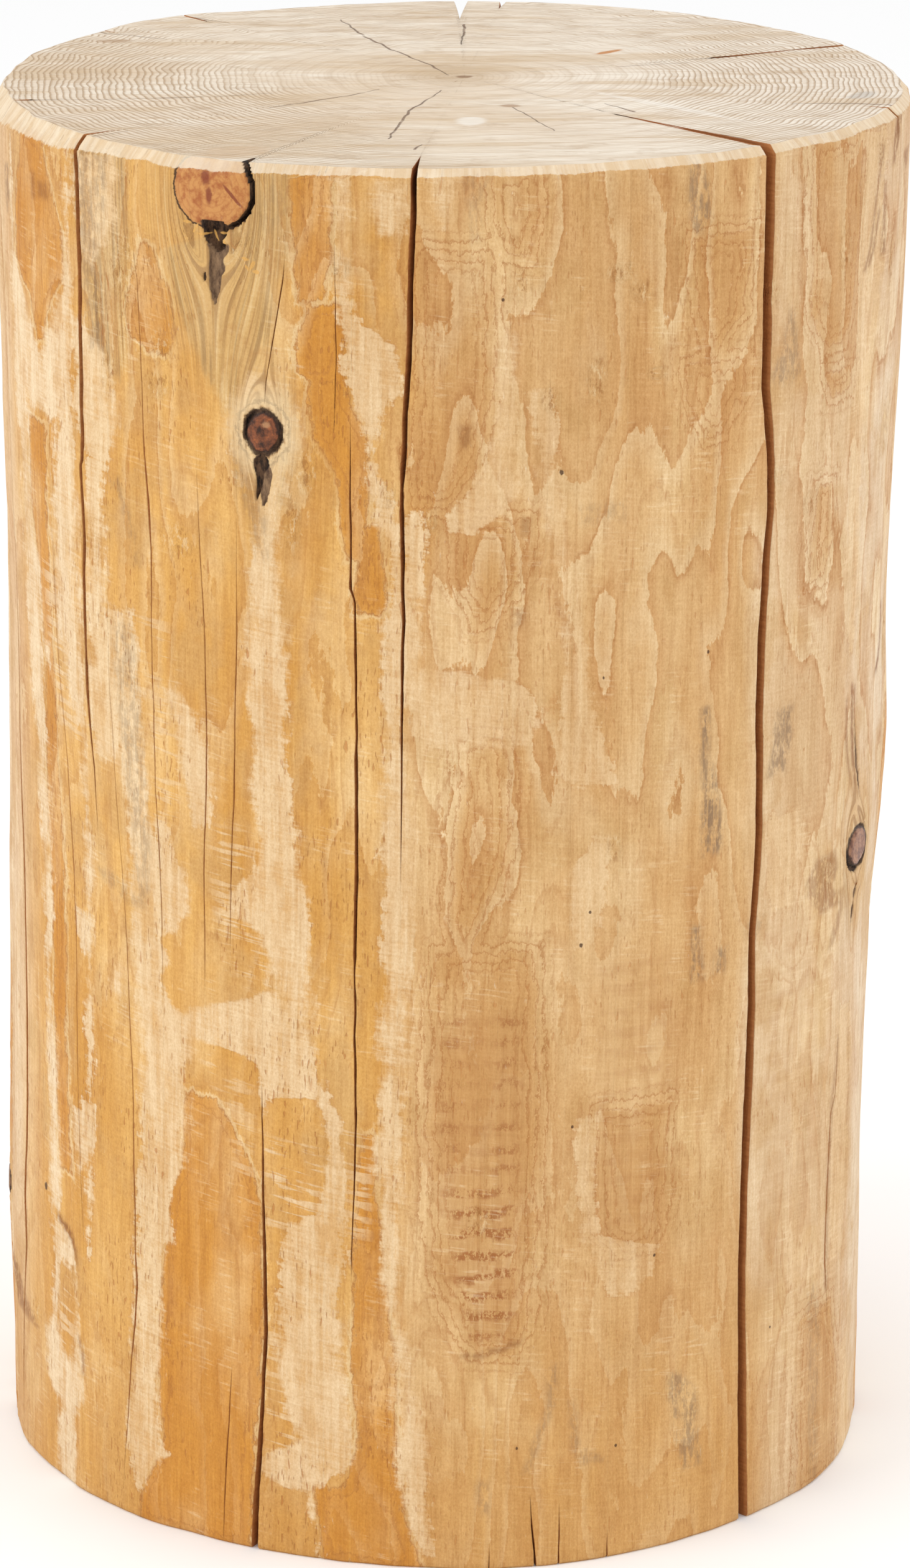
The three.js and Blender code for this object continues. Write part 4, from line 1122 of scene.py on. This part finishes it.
    # pale wood that the knife has bared, with torn edges and a thin dark line at the brink
    edge = shade.add((tooth, 6.0), (level_hatch, 5.0), (lobes, 11.0), (hatch, 2.5), (grit, 1.6))
    pale_field = shade.add(shade.read("pale"), edge)
    softness = shade.step(cloud, 0.35, 0.65, 0.8, 3.4)
    pale_share = shade.step(shade.math("DIVIDE", pale_field, softness), -1.0, 1.0)
    worn = shade.add((lobes, 1.6), (hatch, 0.7), (streak, 0.8))
    pale_share = shade.times(pale_share, shade.step(worn, -0.35, 0.1, 0.55, 1.0))
    teeth = shade.add(level_hatch, (hatch, 0.3), (lobes, 0.35))
    comb = shade.times(shade.read("comb"), shade.step(teeth, 0.5, 0.58))
    pale_share = shade.math("MAXIMUM", pale_share, comb)
    pale_share = shade.times(pale_share, shade.step(drift, -6.0, 4.0, 1.0, 0.62))
    pale = shade.tones(shade.add(streak, (lobes, 0.6)), 0.3, 0.7, (228, 188, 136), (239, 207, 161))
    pale = shade.tint(pale, (233, 193, 143), shade.step(drift, -44.0, -34.0, 0.0, 0.3))
    # painted highlight: the bared pale wood turns whiter towards the left side
    pale = shade.tint(pale, (244, 220, 186), shade.step(around, -46.0, -60.0, 0.0, 0.4))
    colour = shade.mix(pale_share, base, pale)
    rim_line = shade.hump(pale_field, -1.4, -0.5, -0.5, 0.1)
    rim_line = shade.times(rim_line, shade.step(softness, 2.2, 1.0), shade.step(lobes, 0.4, 0.6))
    colour = shade.tint(colour, (190, 122, 54), rim_line, 0.36)

    scraped = shade.times(shade.step(hatch, 0.54, 0.68), shade.step(lobes, 0.45, 0.6),
                          shade.step(cloud, 0.42, 0.58))
    colour = shade.tint(colour, (243, 214, 170), scraped, 0.3)

    # light and dark fibres, and the top of the side made a little darker
    old = shade.step(pale_share, 0.2, 0.8, 1.0, 0.45)
    light = shade.add(
        shade.step(z, 0.36, 0.44, 1.0, 0.95),
        shade.times(shade.centred(streak, 0.34), old),
        shade.times(shade.centred(fine_streak, 0.26), old),
        (grit, 0.4), (cloud, 0.16), (tooth, 0.24), (hatch, 0.14),
    )
    tinted = shade.join(light, shade.math("POWER", light, 1.45), shade.math("POWER", light, 2.1))
    colour = shade.mix(1.0, colour, tinted, "MULTIPLY")
    return colour, dict(hatch=hatch, streak=streak, fine_streak=fine_streak, tooth=tooth, lobes=lobes,
                        grit=grit, pale=pale_share)


def side_material():
    """The planed side. The grain's coordinates follow the fibres, which flow round the knots."""
    shade = Shading("log_side")
    place = shade.place()
    z = shade.split(place)[2]
    turn = shade.times(shade.read("flow"), math.radians(1))
    grain_x = shade.times(shade.math("SINE", turn), GIRTH_RADIUS * MM)
    grain_y = shade.times(shade.math("COSINE", turn), -GIRTH_RADIUS * MM)
    grain = shade.join(grain_x, grain_y, z)
    colour, made = side_colour(shade, place, grain)
    tooth = made["tooth"]

    # resin dashes that run with the grain, and a few dark specks
    dash = shade.noise(grain, (1.5, 1.5, 0.3), detail=0.0, shift=14.0)
    dash_here = shade.noise(grain, (0.05, 0.05, 0.03), detail=1.0, shift=15.0)
    dashes = shade.times(shade.step(dash, 0.7, 0.78), shade.step(dash_here, 0.46, 0.6))
    dashes = shade.times(dashes, shade.step(shade.read("flow"), -8.0, 2.0, 1.0, 0.6))
    colour = shade.tint(colour, (190, 118, 54), dashes, 0.6)
    for azimuth, height, size in SPECKS:
        away = shade.add(spot(shade, place, azimuth, height, size, size * 1.3), (made["grit"], 0.8))
        colour = shade.tint(colour, (70, 40, 24), shade.step(away, 0.7, 1.1, 0.85, 0.0))

    # grey weathering, brown stains and torn grain
    fleck = shade.noise(place, (0.5, 0.5, 0.22), detail=3.0, roughness=0.72, shift=6.0)
    smudge = shade.times(shade.read("grey"), shade.step(fleck, 0.36, 0.6),
                         shade.step(made["fine_streak"], 0.3, 0.56, 0.35, 1.0))
    colour = shade.tint(colour, (138, 110, 84), smudge, 0.88)
    stain = shade.times(shade.read("brown"), shade.step(fleck, 0.3, 0.52))
    colour = shade.tint(colour, (136, 78, 32), stain, 0.88)
    torn = shade.read("torn")
    crumb = shade.noise(place, (0.5, 0.5, 0.24), detail=3.0, roughness=0.75, shift=8.0)
    colour = shade.tint(colour, (160, 104, 48), torn, shade.step(crumb, 0.46, 0.36), 0.6)
    colour = shade.tint(colour, (244, 212, 162), torn, shade.step(crumb, 0.53, 0.64), 0.55)

    # lines of grain that crowd round the knots
    halo = shade.read("halo")
    lines = shade.noise(grain, (1.0, 1.0, 0.012), detail=2.0, shift=21.0)
    colour = shade.tint(colour, (222, 180, 116), halo, 0.35)
    crowd = shade.times(halo, shade.step(lines, 0.5, 0.62))
    colour = shade.tint(colour, (152, 106, 58), crowd, 0.6)
    colour = shade.tint(colour, (238, 206, 150), halo, shade.step(lines, 0.42, 0.32), 0.5)
    colour, gloss = knot_colours(shade, place, colour)

    # the chamfer at the rim
    chamfer = shade.step(shade.add(shade.read("chamfer"), (tooth, 0.4)), 0.06, 0.16)
    rim_tone = shade.add(made["streak"], (made["lobes"], 0.5))
    rim_colour = shade.tones(rim_tone, 0.35, 0.65, (230, 206, 172), (243, 227, 201))
    colour = shade.mix(shade.times(chamfer, 0.74), colour, rim_colour)

    # inside the checks and pockets, with painted shade that darkens the checks with depth and makes the knot
    # gaps and black pockets near-black
    inner = shade.read("inner")
    wall = shade.noise(place, (0.12, 0.12, 1.2), detail=2.0, shift=33.0)
    wall_colour = shade.mix(wall, srgb(158, 92, 44), srgb(206, 138, 78))
    colour = shade.mix(shade.step(inner, 0.02, 0.3), colour, wall_colour)
    # painted shade: the checks get darker the deeper they go
    colour = shade.tint(colour, (150, 86, 42), shade.step(inner, 0.6, 9.0, 0.0, 0.7))
    tail = shade.read("tail")
    tail_colour = shade.tones(fleck, 0.3, 0.7, (82, 58, 42), (152, 120, 88))
    colour = shade.mix(shade.step(tail, 0.1, 0.7), colour, tail_colour)
    # painted shade: the knot gaps and black pockets take a near-black brown
    hollow = shade.read("hollow")
    hollow_shade = shade.tones(fleck, 0.35, 0.65, (36, 24, 17), (104, 76, 54))
    colour = shade.mix(shade.step(hollow, 0.2, 0.8), colour, hollow_shade)
    for azimuth, height, across, up, lean in SHAVINGS:
        away = shade.add(spot(shade, place, azimuth, height, across, up, lean), (crumb, 1.2))
        colour = shade.tint(colour, (228, 174, 96), shade.step(away, 0.7, 1.2, 0.9, 0.0))

    relief = shade.add(
        shade.times(made["hatch"], shade.add(shade.times(made["pale"], 0.22), 0.1)),
        shade.times(made["streak"], 0.3),
        shade.times(made["fine_streak"], 0.26),
        shade.times(made["lobes"], 0.6),
        shade.times(made["grit"], 0.22),
        shade.times(tooth, shade.add(0.16, shade.times(torn, 1.0))),
        shade.times(crumb, torn, 0.8),
        shade.times(made["lobes"], -0.3, chamfer),
        shade.times(dashes, -0.25),
    )
    rough = shade.add(0.6, shade.times(tooth, 0.16), shade.times(torn, 0.1), shade.times(hollow, 0.1))
    rough = shade.math("SUBTRACT", rough, shade.times(gloss, 0.35))
    return shade.dress(colour, relief, shade.math("MINIMUM", rough, 0.95), 0.25)


def end_material():
    """The two sawn ends."""
    shade = Shading("log_ends")
    colour, relief = head_colour(shade, shade.place())
    return shade.dress(colour, relief, shade.add(0.66, shade.times(relief, 0.08)), 0.22)


def head_colour(shade, place):
    """Colour of a sawn end, and the relief of its saw marks."""
    x, y = shade.split(place)[:2]
    broad = shade.noise(place, (0.016, 0.016, 0.016), detail=2.0, shift=50.0)
    wobble = shade.noise(place, (0.03, 0.03, 0.03), detail=2.0, shift=51.0)
    ripple = shade.noise(place, (0.12, 0.12, 0.12), detail=1.0, shift=57.0)
    saw = shade.noise(place, (0.025, 0.6, 0.03), detail=3.0, roughness=0.6, shift=52.0)
    fine_saw = shade.noise(place, (0.1, 1.7, 0.12), detail=2.0, shift=53.0)
    grime = shade.noise(place, (0.07, 0.12, 0.1), detail=4.0, roughness=0.65, shift=54.0)
    flat = shade.vector("MULTIPLY", place, (1, 1, 0))
    shake_x, shake_y = shade.centred(ripple, 0.0022), shade.centred(wobble, 0.004)
    shaky = shade.vector("ADD", flat, shade.join(shake_x, shake_y, 0))

    waves = shade.step(y, 0.02, 0.07)
    age = shade.add(shade.times(shade.read("age"), 0.5), (wobble, 5.0),
                    shade.times(shade.centred(ripple, 2.4), shade.add(waves, 0.25)))
    ring = shade.math("FRACT", age)
    late = shade.hump(ring, 0.45, 0.88, 0.88, 1.0)
    wide_age = shade.math("FRACT", shade.times(age, 0.23))
    wide_late = shade.hump(wide_age, 0.6, 0.9, 0.9, 1.0)

    left_front = shade.step(shade.add(x, shade.times(y, 0.5), (wobble, 0.06)), -0.04, -0.085)
    right_side = shade.step(shade.add(x, (wobble, 0.05)), 0.05, 0.085)
    back = shade.times(shade.step(y, 0.045, 0.075), shade.step(grime, 0.35, 0.55))
    shown = shade.math("MAXIMUM", shade.math("MAXIMUM", left_front, right_side), shade.times(back, 0.8))

    pale = shade.tones(broad, 0.3, 0.7, (222, 199, 170), (236, 219, 197))
    pale = shade.tint(pale, (243, 231, 215), shade.step(x, -0.01, 0.07, 0.0, 0.85))
    pale = shade.tint(pale, (242, 230, 213), shade.step(y, 0.0, 0.09, 0.0, 0.6))
    pale = shade.tint(pale, (236, 222, 200), shade.step(y, -0.06, -0.12, 0.0, 0.4))
    smear = shade.noise(place, (0.014, 0.07, 0.02), detail=3.0, roughness=0.6, shift=55.0)
    pale = shade.tint(pale, (248, 238, 222), shade.step(smear, 0.5, 0.66, 0.0, 0.6))
    pale = shade.tint(pale, (212, 184, 146), shade.step(smear, 0.48, 0.34, 0.0, 0.5))
    colour = shade.tint(pale, (180, 146, 108), late, shade.add(0.16, shade.times(shown, 0.62)))
    colour = shade.tint(colour, (186, 156, 120), wide_late, 0.22)
    colour = shade.tint(colour, (194, 164, 128), shade.step(saw, 0.5, 0.7, 0.0, 0.5))
    colour = shade.tint(colour, (246, 236, 220), shade.step(fine_saw, 0.42, 0.28, 0.0, 0.5))
    colour = shade.tint(colour, (178, 150, 118), shade.step(fine_saw, 0.58, 0.74, 0.0, 0.35))
    colour = shade.tint(colour, (190, 162, 130), shade.step(grime, 0.54, 0.7, 0.0, 0.45))

    heart = shade.vector("LENGTH", shade.vector("SUBTRACT", flat, (PITH[0] * MM, (PITH[1] + 5) * MM, 0)))
    heart_share = shade.step(shade.add(heart, (wobble, 0.03)), 0.006, 0.03, 0.4, 0.0)
    colour = shade.tint(colour, (188, 158, 120), heart_share)
    pith = head_spot(shade, place, PITH[0], PITH[1], 2.6, 2.0, 10)
    colour = shade.tint(colour, (140, 104, 72), shade.step(pith, 0.7, 1.3, 0.75, 0.0))

    marks = [
        (50, 51, 6.5, 1.7, 45, 0.9, srgb(196, 128, 62)),
        (5, -65, 5, 7, 0, 0.55, srgb(250, 246, 238)),
        (128, -23, 8, 4, 60, 0.4, srgb(178, 176, 172)),
        (66, -40, 36, 2.6, -46, 0.4, srgb(250, 244, 234)),
        (-66, -112, 13, 9, 25, 0.4, srgb(206, 172, 134)),
        (-112, 70, 7, 3.4, 10, 0.6, srgb(172, 134, 96)),
        (17, -40, 3.4, 2.8, 0, 0.6, srgb(160, 118, 80)),
    ]
    for mark_x, mark_y, long, short, turned, strength, tone in marks:
        away = shade.add(head_spot(shade, place, mark_x, mark_y, long, short, turned), (grime, 0.9),
                         (fine_saw, 0.5))
        colour = shade.mix(shade.step(away, 0.6, 1.15, strength, 0.0), colour, tone)

    shake = None
    for stops in HEAD_LINES:
        line = drawn_line(shade, shaky, stops)
        shake = line if shake is None else shade.math("MAXIMUM", shake, line)
    shake = shade.times(shake, shade.step(grime, 0.3, 0.5, 0.3, 1.0))
    colour = shade.tint(colour, (122, 78, 44), shake, 0.8)
    relief = shade.add(shade.times(saw, 0.7), shade.times(fine_saw, 0.7), shade.times(late, shown, 0.3),
                       shade.times(shake, -1.2))
    return colour, relief


def knot_colours(shade, place, colour):
    """Knots on the side: a face with rings of its own inside a thin dark ring."""
    grainy = shade.noise(place, (0.35, 0.35, 0.35), detail=4.0, roughness=0.65, shift=60.0)
    looks = {
        "rim": (srgb(210, 148, 84), srgb(174, 100, 50), 0.5),
        "small": (srgb(140, 80, 48), srgb(58, 34, 22), 1.5),
        "right": (srgb(176, 128, 98), srgb(112, 72, 58), 1.2),
        "left": (srgb(150, 106, 70), srgb(96, 64, 40), 0.9),
        "back": (srgb(184, 124, 74), srgb(124, 74, 40), 0.7),
        "back_low": (srgb(170, 118, 72), srgb(108, 66, 36), 0.8),
    }
    gloss = 0.0
    for knot in KNOTS:
        away = spot(shade, place, knot["azimuth"], knot["height"], knot["across"], knot["up"], knot["tilt"])
        away = shade.add(away, (grainy, knot.get("rough", 0.2)))
        core, dark, ring_width = looks[knot["name"]]
        rings = shade.math("FRACT", shade.times(away, knot["across"] / 1.9))
        face = shade.mix(shade.step(grainy, 0.4, 0.68), core, dark)
        face = shade.mix(shade.step(rings, 0.55, 0.95, 0.0, 0.35), face, dark)
        if knot["name"] == "rim":
            for star in [(-30.6, 445, 2.0, 2.6), (-30.2, 439.5, 1.2, 3.0), (-27.2, 440.2, 0.8, 4.4, 0.9)]:
                star_and_highlight = shade.add(spot(shade, place, *star), (grainy, 1.8))
                face = shade.tint(face, (128, 48, 28), shade.step(star_and_highlight, 0.5, 1.1, 0.8, 0.0))
        if knot["name"] == "small":
            edge = shade.add(away, (grainy, 0.6))
            ring_share = shade.hump(edge, 1.1, 1.3, 1.4, 2.6)
            colour = shade.tint(colour, (242, 214, 168), ring_share, 0.55)
            ring_share = shade.hump(edge, 1.35, 1.45, 1.45, 1.65)
            colour = shade.tint(colour, (160, 136, 104), ring_share, 0.45)
            # painted highlight: a small pinkish pale spot on the upper part of the small knot's face
            star_and_highlight = shade.add(spot(shade, place, -23.2, 370.4, 1.6, 1.2), (grainy, 1.2))
            face = shade.tint(face, (214, 160, 112), shade.step(star_and_highlight, 0.4, 1.1, 0.6, 0.0))
            face = shade.tint(face, (186, 104, 52), shade.step(grainy, 0.44, 0.34, 0.0, 0.6))
        inside = shade.step(away, 0.93, 1.02, 1.0, 0.0)
        colour = shade.mix(inside, colour, face)
        off_ring = shade.times(shade.math("ABSOLUTE", shade.math("SUBTRACT", away, 1.0)), knot["up"])
        ring = shade.step(off_ring, ring_width * 0.4, ring_width, 0.9, 0.0)
        colour = shade.tint(colour, (54, 31, 19), ring)
        gloss = shade.add(gloss, shade.times(inside, 0.7))
    return colour, gloss


# ---------------------------------------------------------------- the pieces

log = build_log()
log.data.materials.append(side_material())
log.data.materials.append(end_material())
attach(log, "root")
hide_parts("log")


# ---------------------------------------------------------------- floor, light and camera

def make_floor():
    """A pale sheet, far wider than the view."""
    mesh = bpy.data.meshes.new("floor")
    reach = 30.0
    corners = [(-reach, -reach, 0), (reach, -reach, 0), (reach, reach, 0), (-reach, reach, 0)]
    mesh.from_pydata(corners, [], [(0, 1, 2, 3)])
    floor = bpy.data.objects.new("floor", mesh)
    bpy.context.scene.collection.objects.link(floor)
    shade = Shading("floor_paper")
    shade.surface.inputs["Base Color"].default_value = (0.93, 0.93, 0.93, 1)
    shade.surface.inputs["Roughness"].default_value = 0.9
    mesh.materials.append(shade.material)


def make_lamp(name, place, aim, size, power):
    lamp = bpy.data.lights.new(name, "AREA")
    lamp.shape = "RECTANGLE"
    lamp.size, lamp.size_y = size
    lamp.energy = power
    thing = bpy.data.objects.new(name, lamp)
    thing.location = place
    direction = Vector(aim) - Vector(place)
    thing.rotation_euler = direction.to_track_quat("-Z", "Y").to_euler()
    bpy.context.scene.collection.objects.link(thing)


def make_world(strength):
    world = bpy.data.worlds.new("studio")
    world.use_nodes = True
    background = world.node_tree.nodes["Background"]
    background.inputs["Color"].default_value = (1, 1, 1, 1)
    background.inputs["Strength"].default_value = strength
    bpy.context.scene.world = world


def make_camera():
    """Looks down on the log from 1.9 m away, at the height and pitch of the reference view."""
    distance, eye_height, pitch = 4.2 * HEIGHT * MM, 1.8008 * HEIGHT * MM, 17.46
    lens_over_width = 6.61
    camera = bpy.data.cameras.new("camera")
    camera.sensor_fit = "HORIZONTAL"
    camera.sensor_width = 36
    camera.lens = 36 * lens_over_width
    thing = bpy.data.objects.new("camera", camera)
    thing.location = (0, -distance, eye_height)
    thing.rotation_euler = (math.radians(90 - pitch), 0, 0)
    bpy.context.scene.collection.objects.link(thing)
    bpy.context.scene.camera = thing


make_floor()
make_world(1.0)
middle = (0, 0, HEIGHT * MM / 2)
make_lamp("left_softbox", (-1.6, -0.9, 1.2), middle, (1.2, 1.6), 13)
make_lamp("right_softbox", (1.8, -0.6, 1.0), middle, (1.0, 1.6), 8)
make_lamp("top_softbox", (0.0, 0.1, 2.2), middle, (1.6, 1.6), 6)
make_camera()
bpy.context.scene.view_settings.view_transform = "Standard"
